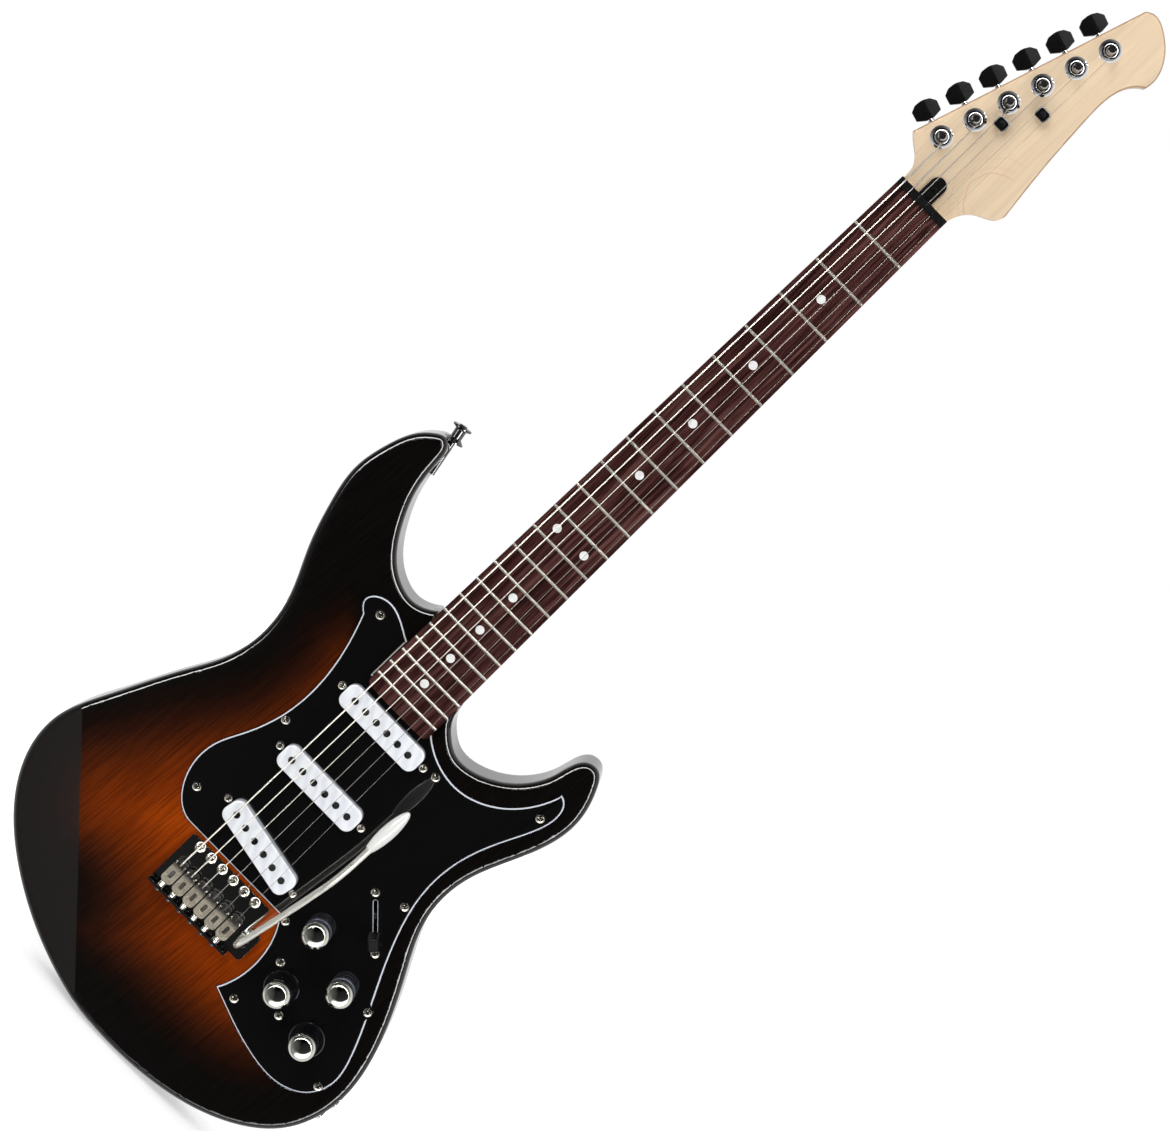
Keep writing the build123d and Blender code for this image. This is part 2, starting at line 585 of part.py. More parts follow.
def make_knob(node, place, stand_off, height):
    """A turned knob with a domed cap, hollow underneath for the nut, on its own shaft."""
    dome = 1.6
    foot = stand_off + 0.8
    profile = (
        (0, height), (knob_radius * 0.55, height - 0.35), (knob_radius * 0.85, height - 1.0),
        (knob_radius - 0.6, height - dome), (knob_radius - 0.6, height - dome - 0.6),
        (knob_radius, height - dome - 0.9), (knob_radius, foot), (7.4, foot), (7.4, foot + 6),
        (post_radius, foot + 6), (post_radius, -12.5 - guard_thickness), (0, -12.5 - guard_thickness),
    )
    save(node, [turned(place[0], guard_top, place[1], *profile)], (0.1, 0.1, 0.11))


def make_controls():
    pots = []
    collar_thickness = 1.5
    bore = post_radius + running_fit
    for place, seat in (
        (volume_place, 0), (tone_place, 0), (model_place, collar_thickness), (tuning_place, collar_thickness)
    ):
        under = guard_thickness  # the pot hangs against the guard's underside
        profile = (
            (bore, seat + 4.5), (3.9, seat + 4.5), (3.9, seat + 2.2), (5.6, seat + 2.2), (5.6, seat),
            (3.9, seat), (3.9, -under), (11.6, -under), (12.0, -under - 1), (12.0, -under - 10.2),
            (bore, -under - 10.2),
        )
        shell = turned(place[0], guard_top, place[1], *profile)
        pots.append(shell + peg(*place, 12.0, 10.2, 13.2) - peg(*place, bore, 0, 12.7))
    save("control_pots", pots, (0.6, 0.6, 0.6))

    collars = []
    for x, z in (model_place, tuning_place):
        ring = ((3.95, 0), (12.3, 0), (12.3, 0.9), (11.7, collar_thickness), (3.95, collar_thickness))
        collars.append(turned(x, guard_top, z, *ring))
    save("knob_collars", collars, (0.5, 0.5, 0.5))

    make_knob("volume_knob", volume_place, 0, low_knob_height)
    make_knob("tone_knob", tone_place, 0, low_knob_height)
    make_knob("model_knob", model_place, collar_thickness, tall_knob_height)
    make_knob("tuning_knob", tuning_place, collar_thickness, tall_knob_height)

    x0, z0 = board_screw_points[0][0] - 3.5, board_screw_points[1][1] - 4.5
    board = block(x0, tuning_place[0] + 8.5, 13.2, 14.8, z0, board_screw_points[0][1] + 4)
    for x, z in board_screw_points:
        board += peg(x, z, 3.0, 0, 13.2)
        board -= peg(x, z, 1.3 + screw_fit, -1, 16)
    save("control_board", [board], (0.05, 0.3, 0.1))


def make_switch():
    flange = slab(SlotOverall(2 * switch_half + 8, 8), 0, 1.2) - slab(SlotOverall(31, 3.2), -1, 2)
    for side in (-1, 1):
        flange -= peg(side * switch_half, 0, 1.5 + screw_fit, -1, 2)
    frame = flange
    for z0, z1 in ((-4, -2.2), (2.2, 4)):
        frame += block(-13, 13, 1.2, lever_pivot_y + 5, z0, z1)
    frame += block(-17, 17, 8, lever_pivot_y + 5, 4, 5.6)  # contact wafer
    frame += rod((0, lever_pivot_y, -4), (0, lever_pivot_y, 4), 1.5)
    save("selector_switch", [switch_place * frame], (0.6, 0.6, 0.6))

    rest = Pos(0, lever_pivot_y, 0) * Rot(0, 0, lever_swing / 2)
    blade = block(-2.2, 2.2, -36, 0, -0.7, 0.7) + rod((0, 0, -1.9), (0, 0, 1.9), 4)
    blade -= rod((0, 0, -3), (0, 0, 3), 1.5 + running_fit)
    save("switch_lever", [switch_place * rest * blade], (0.7, 0.7, 0.7))
    cap = block(-5, 5, -40.5, -29.5, -3.6, 3.6)
    cap = fillet(cap.edges().filter_by(Axis.Z), 1.5)
    cap = fillet(cap.faces().sort_by(Axis.Y)[0].edges(), 1.2)
    cap -= block(-2.25, 2.25, -36, -29, -0.75, 0.75)
    save("switch_tip", [switch_place * rest * cap], (0.03, 0.03, 0.03))


# ---- tremolo bridge -----------------------------------------------------------------------
pivot_points = [(0.4 + string_x(i, bridge_spacing), pivot_z) for i in range(string_count)]
string_hole_z = saddle_z - 10.5
lip_back = saddle_z - 27.7
saddle_front = saddle_z - 2.0
saddle_rear = saddle_front - saddle_length
intonation_y = plate_top - 4.6


def make_bridge_plate():
    plate = block(plate_left, plate_right, plate_top, plate_bottom, lip_back, saddle_z + 15)
    corners = plate.edges().filter_by(Axis.Y).sort_by(Axis.Z)[-2:]
    plate = fillet(corners, 2)
    plate += block(plate_right - 1, ear_right, plate_top, plate_bottom, saddle_z - 25, saddle_z - 3)
    ear_corners = [e for e in plate.edges().filter_by(Axis.Y) if e.center().X > ear_right - 1]
    plate = fillet(ear_corners, 3)
    plate += block(plate_left, plate_right, plate_top - 8.2, plate_top, lip_back, lip_back + 2)
    plate += peg(*arm_socket, 5.4, plate_top - 2, 14)
    plate -= peg(*arm_socket, arm_radius + running_fit, plate_top - 3, 13)
    for x, z in pivot_points:
        plate -= peg(x, z, 2.3, plate_top - 1, plate_bottom + 1)
    for index in range(string_count):
        x = string_x(index, bridge_spacing)
        plate -= peg(x, string_hole_z, 1.6, plate_top - 1, plate_bottom + 1)
        plate -= rod((x, intonation_y, lip_back - 1), (x, intonation_y, lip_back + 3), 1.4 + screw_fit)
    save("bridge_plate", [plate], (0.82, 0.82, 0.84))

    heads = []
    for x, z in pivot_points:
        lift = plate_top - 0.9  # room under the head for the plate to rock
        heads.append(screw(x, z, lift, 3.5, 2.2, 1.6, 29))
    save("pivot_screws", heads, (0.82, 0.82, 0.84))


def make_saddles():
    saddles, screws, springs = [], [], []
    for index, radius in enumerate(string_radii):
        x = string_x(index, bridge_spacing)
        top = saddle_string_y + arch(x) + radius + 0.15
        half = saddle_width / 2
        piece = block(x - half, x + half, top, plate_top - 1.6, saddle_rear, saddle_front)
        piece = fillet(piece.edges().filter_by(Axis.X).sort_by(Axis.Y)[:2], 1.4)
        piece -= block(x - 1.6, x + 1.6, top - 1, plate_top, saddle_rear + 5, saddle_front - 1.9)
        piece -= rod((x, intonation_y, saddle_rear - 1), (x, intonation_y, saddle_rear + 6), 1.4 + screw_fit)
        for side in (-3.3, 3.3):
            piece -= peg(x + side, saddle_front - 3.6, 1.1 + screw_fit, top - 1, plate_top)
            screws.append(peg(x + side, saddle_front - 3.6, 1.1, top + 0.4, plate_top))
        saddles.append(piece)
        shank = rod((x, intonation_y, lip_back - 0.1), (x, intonation_y, saddle_rear + 4.5), 1.4)
        screws.append(shank + rod((x, intonation_y, lip_back - 2.6), (x, intonation_y, lip_back), 2.7))
        coil = rod((x, intonation_y, lip_back + 2), (x, intonation_y, saddle_rear), 2.3)
        springs.append(coil - rod((x, intonation_y, lip_back), (x, intonation_y, saddle_rear + 2), 1.6))
    save("saddles", saddles, (0.78, 0.74, 0.66))
    save("saddle_screws", screws, (0.7, 0.7, 0.7))
    save("intonation_springs", springs, (0.7, 0.7, 0.7))


def make_tremolo_block():
    depth = back_cover_front - 4
    front = saddle_z + 2
    half = last_saddle_x + 5.5
    mass = block(-half, half, plate_bottom, depth, front - block_thickness, front)
    for index in range(string_count):
        x = string_x(index, bridge_spacing)
        mass -= peg(x, string_hole_z, 1.6, plate_bottom - 1, depth + 1)
        mass -= peg(x, string_hole_z, 3.2, depth - 9, depth + 1)
    for x in spring_rows:
        mass -= peg(x, front - 3, 1.3, depth - 6, depth + 1)
    save("tremolo_block", [mass], (0.6, 0.6, 0.6))


spring_rows = (-20.8, 0, 20.8)


def make_springs():
    block_front = saddle_z + 2
    claw_z = saddle_z + 86
    row_y = body_thickness - 8.5
    springs = []
    for x in spring_rows:
        wire = rod((x, row_y, block_front + 4), (x, row_y, claw_z - 7), 4.0)
        wire -= rod((x, row_y, block_front + 3), (x, row_y, claw_z - 6), 2.9)
        wire += rod((x, row_y, block_front + 0.6), (x, row_y, block_front + 4.5), 1.0)
        wire += rod((x, row_y + 3.3, block_front + 4.2), (x, row_y - 3.3, block_front + 4.2), 0.9)
        wire += rod((x, row_y + 3.3, claw_z - 7.2), (x, row_y - 3.3, claw_z - 7.2), 0.9)
        springs.append(wire + rod((x, row_y, claw_z - 7.5), (x, row_y, claw_z - 2), 0.9))
    save("tremolo_springs", springs, (0.6, 0.6, 0.6))

    claw = block(-31, 31, row_y - 6, row_y + 5, claw_z, claw_z + 1.6)
    for x in spring_rows:
        claw += block(x - 2.5, x + 2.5, row_y + 1.4, row_y + 3, claw_z - 5.8, claw_z + 1)
    screws = []
    for side in (-1, 1):
        x = side * claw_screw_x
        end_y = body_thickness - 9
        claw -= rod((x, end_y, claw_z - 1), (x, end_y, claw_z + 3), 1.9 + screw_fit)
        shank = rod((x, end_y, claw_z - 0.2), (x, end_y, saddle_z + 117), 1.9)
        screws.append(shank + rod((x, end_y, claw_z - 2.6), (x, end_y, claw_z), 3.4))
    save("spring_claw", [claw], (0.7, 0.7, 0.7))
    save("claw_screws", screws, (0.7, 0.7, 0.7))


def make_arm():
    socket_x, socket_z = arm_socket
    path = FilletPolyline(
        (socket_x, 12, socket_z), (socket_x, -26, socket_z),
        (50.5, -62, saddle_z + 70), (52.5, -72, saddle_z + 141),
        radius=14,
    )
    start = Plane(origin=(socket_x, 12, socket_z), z_dir=(0, -1, 0))
    save("tremolo_arm", [sweep(start * Circle(arm_radius), path=path)], (0.75, 0.75, 0.75))

    tip_start = Vector(51.55, -67.2, saddle_z + 107)
    run = (Vector(52.5, -72, saddle_z + 141) - Vector(50.5, -62, saddle_z + 70)).normalized()
    length = 37.0
    profile = (
        (arm_radius + running_fit, 0), (3.9, 0), (4.8, 3), (5.1, length * 0.55),
        (4.7, length - 4), (3.2, length - 1), (0, length), (0, length - 2.5),
        (arm_radius + running_fit, length - 2.5),
    )
    tip = revolve(Plane.XZ * make_face(Polyline(*profile, close=True)), Axis.Z)
    save("arm_tip", [Plane(origin=tip_start, z_dir=run) * tip], (0.9, 0.88, 0.8))


# ---- back, straps and output --------------------------------------------------------------
def make_back():
    plan = Pos(0, saddle_z + 37) * RectangleRounded(100, 146, 6)
    cover = slab(plan, back_cover_front, body_thickness)
    screws = []
    for index in range(string_count):
        x = string_x(index, bridge_spacing)
        hole = Pos(x, string_hole_z) * SlotOverall(14, 8, rotation=90)
        cover -= slab(hole, back_cover_front - 1, body_thickness + 1)
    for x, z in cover_screw_points:
        cover -= peg(x, z, 1.3 + screw_fit, back_cover_front - 1, body_thickness + 1)
        screws.append(from_behind(screw(-x, z, 0, 3.2, 1.4, 1.3, 14)))
    save("back_cover", [cover], (0.05, 0.05, 0.05))
    save("back_cover_screws", screws, (0.8, 0.8, 0.8))


def make_strap_buttons():
    profile = ((0, 13.2), (2.5, 13.2), (3.2, 12.2), (6.6, 12.2), (7, 11.6), (7, 10.8), (4, 9.4))
    profile += ((4, 3.4), (7, 1.0), (7, 0), (1.9, 0), (1.9, -26), (0, -26))
    button = revolve(Plane.XZ * make_face(Polyline(*profile, close=True)), Axis.Z)
    places = ((tail_button, (0, 0, -1)), (horn_button, horn_direction))
    buttons = [Plane(origin=place, z_dir=direction) * button for place, direction in places]
    save("strap_buttons", buttons, (0.82, 0.82, 0.84))


def make_jack():
    seat = 160.4
    side = Plane(origin=(seat, middle_y, jack_z), x_dir=(0, 0, 1), z_dir=(1, 0, 0))
    plate = extrude(side * RectangleRounded(34, 26, 6), 1.6)
    plate -= rod((seat - 1, middle_y, jack_z), (seat + 3, middle_y, jack_z), 4.8)
    for z in (-13.4, 13.4):
        plate -= rod((seat - 1, middle_y, jack_z + z), (seat + 3, middle_y, jack_z + z), 1.3)
    save("jack_plate", [plate], (0.82, 0.82, 0.84))

    profile = ((3.2, 4.2), (5.2, 4.2), (6.6, 3.8), (6.6, 1.6), (4.75, 1.6), (4.75, 0), (8.4, 0))
    profile += ((8.4, -2), (7.6, -2), (7.6, -24), (3.2, -24))
    sleeve = revolve(Plane.XZ * make_face(Polyline(*profile, close=True)), Axis.Z)
    save("jack_socket", [Plane(origin=(seat, middle_y, jack_z), z_dir=(1, 0, 0)) * sleeve], (0.8, 0.8, 0.82))


def make_strings():
    wires = []
    winding_y = head_face - post_height + 7.8
    for index, radius in enumerate(string_radii):
        x_low, x_high = string_x(index, bridge_spacing), string_x(index, nut_spacing)
        ball_y = back_cover_front - 4 - 8.5
        over_saddle = saddle_string_y + arch(x_low)
        over_nut = open_string_y + arch(x_high)
        points = [(x_low, ball_y, string_hole_z), (x_low, plate_top, string_hole_z)]
        points += [(x_low, over_saddle, saddle_front - 2.2 - radius), (x_low, over_saddle, saddle_z)]
        points += [(x_high, over_nut, 0), (x_high, over_nut, nut_length)]
        spot = tuner_place(index).position
        for _, tree_z, held in tree_places:
            if index in held:
                points.append((head_string_x(index, tree_z), wing_under + radius + 0.5, tree_z))
        points.append((head_string_x(index, spot.Z), winding_y, spot.Z))
        start = Plane(origin=points[0], z_dir=(0, -1, 0))
        wire = sweep(start * Circle(radius), path=Polyline(*points), transition=Transition.RIGHT)
        turns = 6 * radius
        outer = winding_radius + 2 * radius + 0.05
        coil = peg(spot.X, spot.Z, outer, winding_y - turns / 2, winding_y + turns / 2)
        coil -= peg(spot.X, spot.Z, winding_radius - 0.05, winding_y - turns, winding_y + turns)
        ball = peg(x_low, string_hole_z, 2.0, ball_y, ball_y + 3.5)
        wires.append(wire + coil + ball)
    save("strings", wires, (0.8, 0.8, 0.78))


make_body()
make_neck()
make_fingerboard()
make_nut()
make_truss_rod()
make_string_trees()
make_tuners()
make_neck_joint()
make_guard()
make_pickups()
make_controls()
make_switch()
make_bridge_plate()
make_saddles()
make_tremolo_block()
make_springs()
make_arm()
make_back()
make_strap_buttons()
make_jack()
make_strings()
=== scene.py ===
import math

import bpy
from mathutils import Matrix, Vector, kdtree


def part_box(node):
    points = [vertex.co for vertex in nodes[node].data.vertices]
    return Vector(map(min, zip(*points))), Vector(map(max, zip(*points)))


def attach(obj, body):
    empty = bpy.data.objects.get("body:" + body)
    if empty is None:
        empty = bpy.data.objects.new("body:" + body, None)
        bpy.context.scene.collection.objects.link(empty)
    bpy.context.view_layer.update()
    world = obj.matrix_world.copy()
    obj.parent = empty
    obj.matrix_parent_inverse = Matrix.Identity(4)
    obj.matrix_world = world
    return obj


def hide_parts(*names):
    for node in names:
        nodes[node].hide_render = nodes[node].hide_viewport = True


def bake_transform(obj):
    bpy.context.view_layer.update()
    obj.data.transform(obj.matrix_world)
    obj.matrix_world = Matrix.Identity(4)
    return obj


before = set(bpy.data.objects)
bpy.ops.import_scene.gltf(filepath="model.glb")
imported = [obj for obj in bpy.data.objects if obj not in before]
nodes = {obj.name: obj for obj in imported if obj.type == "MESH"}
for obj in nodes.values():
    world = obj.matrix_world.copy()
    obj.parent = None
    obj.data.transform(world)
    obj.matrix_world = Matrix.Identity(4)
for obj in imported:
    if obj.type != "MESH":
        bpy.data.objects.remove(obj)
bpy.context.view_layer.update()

mm = 0.001
print("frame loaded:", len(nodes), "nodes")


# ---- selecting and editing

def clearSelection():
    if bpy.context.mode != "OBJECT":
        bpy.ops.object.mode_set(mode="OBJECT")
    bpy.ops.object.select_all(action="DESELECT")


def focus(obj):
    clearSelection()
    obj.select_set(True)
    bpy.context.view_layer.objects.active = obj
    return obj


def editAll(obj):
    # leaves the object in edit mode with everything selected
    focus(obj)
    bpy.ops.object.mode_set(mode="EDIT")
    bpy.ops.mesh.select_all(action="SELECT")


def leaveEdit():
    bpy.ops.object.mode_set(mode="OBJECT")


def pick(obj, kind, test):
    # leaves the object in edit mode with the parts that pass the test selected
    focus(obj)
    bpy.ops.object.mode_set(mode="EDIT")
    bpy.ops.mesh.select_mode(type=kind)
    bpy.ops.mesh.select_all(action="DESELECT")
    leaveEdit()
    parts = {"VERT": obj.data.vertices, "EDGE": obj.data.edges, "FACE": obj.data.polygons}[kind]
    for part in parts:
        part.select = test(part)
    bpy.ops.object.mode_set(mode="EDIT")


def weld(obj):
    # joins the points that coincide, and stays in edit mode
    editAll(obj)
    bpy.ops.mesh.remove_doubles(threshold=0.002 * mm)


def dissolveFlats(obj, degrees):
    # joins the triangles of each flat face
    editAll(obj)
    bpy.ops.mesh.dissolve_limited(angle_limit=math.radians(degrees))
    leaveEdit()


def bevelPicked(width, segments):
    bpy.ops.mesh.bevel(offset=width * mm, segments=segments, affect="EDGES")
    leaveEdit()


def applyPlace(obj):
    focus(obj)
    bpy.ops.object.transform_apply(location=True, rotation=True, scale=True)
    return obj


def applyModifier(obj, kind, **settings):
    focus(obj)
    modifier = obj.modifiers.new(kind.title(), kind)
    for key, value in settings.items():
        setattr(modifier, key, value)
    bpy.ops.object.modifier_apply(modifier=modifier.name)


def easeEdges(obj, width, segments, degrees):
    # bevels every edge that is sharper than the angle; width in millimetres
    limit = math.radians(degrees)
    applyModifier(obj, "BEVEL", width=width * mm, segments=segments, limit_method="ANGLE", angle_limit=limit)


def cutBy(obj, cutter):
    applyModifier(obj, "BOOLEAN", operation="DIFFERENCE", object=cutter, solver="EXACT")
    bpy.data.objects.remove(cutter)


# ---- placing and copying

def newObject(name, data):
    obj = bpy.data.objects.new(name, data)
    bpy.context.scene.collection.objects.link(obj)
    return obj


def rotation(degrees, axis):
    return Matrix.Rotation(math.radians(degrees), 4, axis)


def faceOut(x, y, z, turn=0.0):
    # lays a piece modelled standing on +Z with its top towards the face; metres and degrees
    return Matrix.Translation((x, y, z)) @ rotation(90, "X") @ rotation(turn, "Z")


def backOut(x, y, z, turn=0.0):
    return Matrix.Translation((x, y, z)) @ rotation(-90, "X") @ rotation(turn, "Z")


def twinAt(source, place):
    twin = source.copy()
    twin.data = source.data.copy()
    bpy.context.scene.collection.objects.link(twin)
    twin.matrix_world = place
    return twin


def joined(objs):
    clearSelection()
    for obj in objs:
        obj.select_set(True)
    bpy.context.view_layer.objects.active = objs[0]
    if len(objs) > 1:
        bpy.ops.object.join()
    return bpy.context.view_layer.objects.active


def copiesJoined(source, places):
    # the source is modelled once at the origin; each place gets its own copy of the mesh
    twins = [applyPlace(twinAt(source, place)) for place in places]
    bpy.data.objects.remove(source)
    return joined(twins)


# ---- making

def turnedPiece(rings, sides=48):
    # rings of (radius, height) in millimetres, from the foot up, on the Z axis
    clearSelection()
    radius, height = rings[0]
    bpy.ops.mesh.primitive_circle_add(
        vertices=sides, radius=radius * mm, fill_type="NGON", location=(0, 0, height * mm)
    )
    obj = applyPlace(bpy.context.object)
    bpy.ops.object.mode_set(mode="EDIT")
    bpy.ops.mesh.select_all(action="SELECT")
    for nextRadius, nextHeight in rings[1:]:
        rise = (nextHeight - height) * mm
        bpy.ops.mesh.extrude_region_move(TRANSFORM_OT_translate={"value": (0, 0, rise)})
        grow = nextRadius / radius
        bpy.ops.transform.resize(value=(grow, grow, 1), center_override=(0, 0, nextHeight * mm))
        radius, height = nextRadius, nextHeight
    bpy.ops.mesh.select_all(action="SELECT")
    bpy.ops.mesh.normals_make_consistent(inside=False)
    leaveEdit()
    return obj


def turnedPieceAt(rings, x, y, sides=20):
    piece = turnedPiece(rings, sides)
    piece.location = (x * mm, y * mm, 0)
    return applyPlace(piece)


def block(x0, x1, y0, y1, z0, z1, corner=0.0):
    # an upright block in millimetres, its upright corners rounded
    clearSelection()
    middle = ((x0 + x1) / 2 * mm, (y0 + y1) / 2 * mm, (z0 + z1) / 2 * mm)
    bpy.ops.mesh.primitive_cube_add(size=1, location=middle)
    obj = bpy.context.object
    obj.scale = ((x1 - x0) * mm, (y1 - y0) * mm, (z1 - z0) * mm)
    applyPlace(obj)
    if corner:
        heights = [v.co.z for v in obj.data.vertices]
        upright = {e.index for e in obj.data.edges if abs(heights[e.vertices[0]] - heights[e.vertices[1]]) > 0.001 * mm}
        pick(obj, "EDGE", lambda edge: edge.index in upright)
        bevelPicked(corner, 5)
    return obj


def copyOfNode(nodeName):
    obj = newObject(nodeName + "Copy", nodes[nodeName].data.copy())
    obj.data.materials.clear()
    focus(obj)
    bpy.ops.mesh.customdata_custom_splitnormals_clear()
    weld(obj)
    leaveEdit()
    return obj


def finishPiece(obj, name, finish, body, slotName, *replaced, smoothAngle=32, weighted=False):
    obj.name = obj.data.name = name
    applyPlace(obj)
    bpy.ops.object.shade_smooth_by_angle(angle=math.radians(smoothAngle))
    if weighted:
        applyModifier(obj, "WEIGHTED_NORMAL", keep_sharp=True)  # flats stay flat beside their rounded edges
    obj.data.materials.clear()
    obj.data.materials.append(finishes[finish])
    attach(obj, body)
    if replaced:
        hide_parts(*replaced)
    return obj


# ---- measuring

def leaderOf(pairs):
    # numbers joined by pairs, directly or through others, share one leader
    leader = {}

    def find(i):
        while leader.setdefault(i, i) != i:
            leader[i] = leader[leader[i]]
            i = leader[i]
        return i

    for a, b in pairs:
        leader[find(a)] = find(b)
    return find


def loopsOf(edges):
    # groups of edges that join end to end
    find = leaderOf(edge.vertices for edge in edges)
    groups = {}
    for edge in edges:
        groups.setdefault(find(edge.vertices[0]), []).append(edge.index)
    return list(groups.values())


def spotKey(vertex):
    return tuple(round(c, 6) for c in vertex.co)


def solidBoxes(nodeName):
    # the lowest and highest corner of each separate solid of a CAD node
    mesh = nodes[nodeName].data
    spots, owner = {}, []
    for vertex in mesh.vertices:
        owner.append(spots.setdefault(spotKey(vertex), len(spots)))
    find = leaderOf((owner[v], owner[face.vertices[0]]) for face in mesh.polygons for v in face.vertices[1:])
    boxes = {}
    for key, i in spots.items():
        low, high = boxes.setdefault(find(i), (list(key), list(key)))
        for axis in range(3):
            low[axis] = min(low[axis], key[axis])
            high[axis] = max(high[axis], key[axis])
    return [(Vector(low), Vector(high)) for low, high in boxes.values()]


def middleOf(low, high):
    return (low[0] + high[0]) / 2, (low[2] + high[2]) / 2


def normalsByEdge(mesh):
    users = {}
    for polygon in mesh.polygons:
        for key in polygon.edge_keys:
            users.setdefault(key, []).append(polygon.normal)
    return users


# ---- shading nodes

sheet = {}  # holds the node tree that is being built


def link(value, socket):
    sheet["tree"].links.new(value, socket)


def addNode(kind, inputs=None, **settings):
    node = sheet["tree"].nodes.new("ShaderNode" + kind)
    for key, value in settings.items():
        setattr(node, key, value)
    for key, value in (inputs or {}).items():
        if isinstance(value, bpy.types.NodeSocket):
            link(value, node.inputs[key])
        else:
            node.inputs[key].default_value = value
    return node


def addMath(operation, *values):
    return addNode("Math", dict(enumerate(values)), operation=operation).outputs[0]


def addVectorMath(operation, *values):
    return addNode("VectorMath", dict(enumerate(values)), operation=operation).outputs[0]


def addScaled(vector, scale):
    return addNode("VectorMath", {0: vector, "Scale": scale}, operation="SCALE").outputs[0]


def addDot(first, second):
    return addNode("VectorMath", {0: first, 1: second}, operation="DOT_PRODUCT").outputs["Value"]


def addRange(value, low, high, toLow=0.0, toHigh=1.0, **settings):
    inputs = {"Value": value, "From Min": low, "From Max": high, "To Min": toLow, "To Max": toHigh}
    return addNode("MapRange", inputs, **settings).outputs["Result"]


def addNoise(vector, scale, detail=2.0, **inputs):
    return addNode("TexNoise", {"Vector": vector, "Scale": scale, "Detail": detail, **inputs}).outputs


def addSplit(vector):
    return addNode("SeparateXYZ", {0: vector}).outputs


def addRamp(factor, stops, mode="LINEAR"):
    ramp = addNode("ValToRGB", {"Fac": factor})
    ramp.color_ramp.interpolation = mode
    while len(ramp.color_ramp.elements) < len(stops):
        ramp.color_ramp.elements.new(0.5)
    for element, (spot, colour) in zip(ramp.color_ramp.elements, stops):
        element.position = spot
        element.color = (*colour, 1) if isinstance(colour, tuple) else (colour, colour, colour, 1)
    return ramp.outputs["Color"]


def addStrengths(factor, stops, most):
    # a ramp stops at 1, so its strengths are shares of the most it has to give
    ramp = addRamp(factor, [(spot, strength / most) for spot, strength in stops])
    return addMath("MULTIPLY", ramp, most)


def addMix(factor, first, second):
    # the colour sockets of a mix node are its inputs 6 and 7 and its output 2
    first, second = ((*value, 1) if isinstance(value, tuple) else value for value in (first, second))
    return addNode("Mix", {0: factor, 6: first, 7: second}, data_type="RGBA").outputs[2]


def addBump(shader, height, strength, distance):
    bump = addNode("Bump", {"Height": height, "Strength": strength, "Distance": distance})
    link(bump.outputs["Normal"], shader.inputs["Normal"])


def addGroup(group, inputs):
    return addNode("Group", inputs, node_tree=group).outputs


def newGroup(name, inputs, outputs):
    # an input with no value is a vector, and all others are numbers with their usual value
    group = bpy.data.node_groups.new(name, "ShaderNodeTree")
    for label, usual in inputs.items():
        kind = "NodeSocketVector" if usual is None else "NodeSocketFloat"
        socket = group.interface.new_socket(label, in_out="INPUT", socket_type=kind)
        if usual is not None:
            socket.default_value = usual
    for label in outputs:
        group.interface.new_socket(label, in_out="OUTPUT", socket_type="NodeSocketFloat")
    sheet["tree"] = group
    return group, group.nodes.new("NodeGroupInput").outputs, group.nodes.new("NodeGroupOutput").inputs


# ---- camera, lamps and surroundings

cameraSetup = {
    "place": (-0.01934, -2.0, -0.09881),
    "right": (0.69645262, 0.06585252, 0.71457484),
    "up": (-0.71736587, 0.08947573, 0.69092713),
    "back": (-0.01843781, -0.99380961, 0.10955596),
    "lens": 93.85, "sensor": 36, "clip": (0.05, 50),
}
lampSetup = {
    "aim": (0, 0, -0.35),
    "lamps": (  # name, place, size in metres, power in watts
        ("keyLamp", (-1.5, -2.2, 1.2), 1.6, 42),
        ("fillLamp", (1.9, -1.9, -0.2), 1.6, 26),
        ("backLamp", (0.2, 2.2, 0.8), 1.8, 30),
        ("lowLamp", (-0.6, -1.6, -2.2), 1.4, 14),
    ),
}
surroundings = {
    "fill": 0.55,  # plain light that falls on everything
    "stops": (  # what polished things mirror, from behind the guitar (0) to in front of it (1)
        (0.0, 0.88), (0.14, 0.92), (0.26, 0.95), (0.40, 0.98), (0.52, 0.80), (0.62, 0.42),
        (0.72, 0.16), (0.79, 0.06), (0.854, 0.032), (0.933, 0.018), (0.97, 0.012), (1.0, 0.008),
    ),
    "sides": (  # how much of that comes from each side, round the guitar's face
        (0.0, 1.1), (0.125, 2.2), (0.25, 3.0), (0.375, 2.4), (0.5, 1.4),
        (0.625, 0.6), (0.75, 0.2), (0.875, 0.15), (0.97, 0.7), (1.0, 1.1),
    ),
    "sidesMost": 4.0, "sidesCount": (0.25, 0.5),  # the sides differ only in front of the guitar
    "rings": (  # narrow rings of light: where they lie, and their strength round the guitar's face
        {"inner": 0.935, "outer": 0.800, "strengths": (
            (0.0, 0.12), (0.12, 0.3), (0.17, 5.0), (0.33, 20.0), (0.56, 26.0), (0.62, 22.0),
            (0.70, 22.0), (0.76, 26.0), (0.90, 26.0), (0.94, 6.0), (0.97, 0.12), (1.0, 0.12),
        )},
        {"inner": 0.970, "outer": 0.956, "strengths": (
            (0.0, 0.0), (0.41, 0.0), (0.45, 9.0), (0.55, 9.0), (0.60, 0.0),
            (0.79, 0.0), (0.83, 4.0), (0.89, 4.0), (0.92, 0.0), (1.0, 0.0),
        )},
    ),
    "ringsMost": 40.0,
    # a broad soft light low on the bass side
    "glowFrom": (-0.49, -0.71, -0.505), "glowReach": (0.8, 0.99), "glow": 0.12,
}


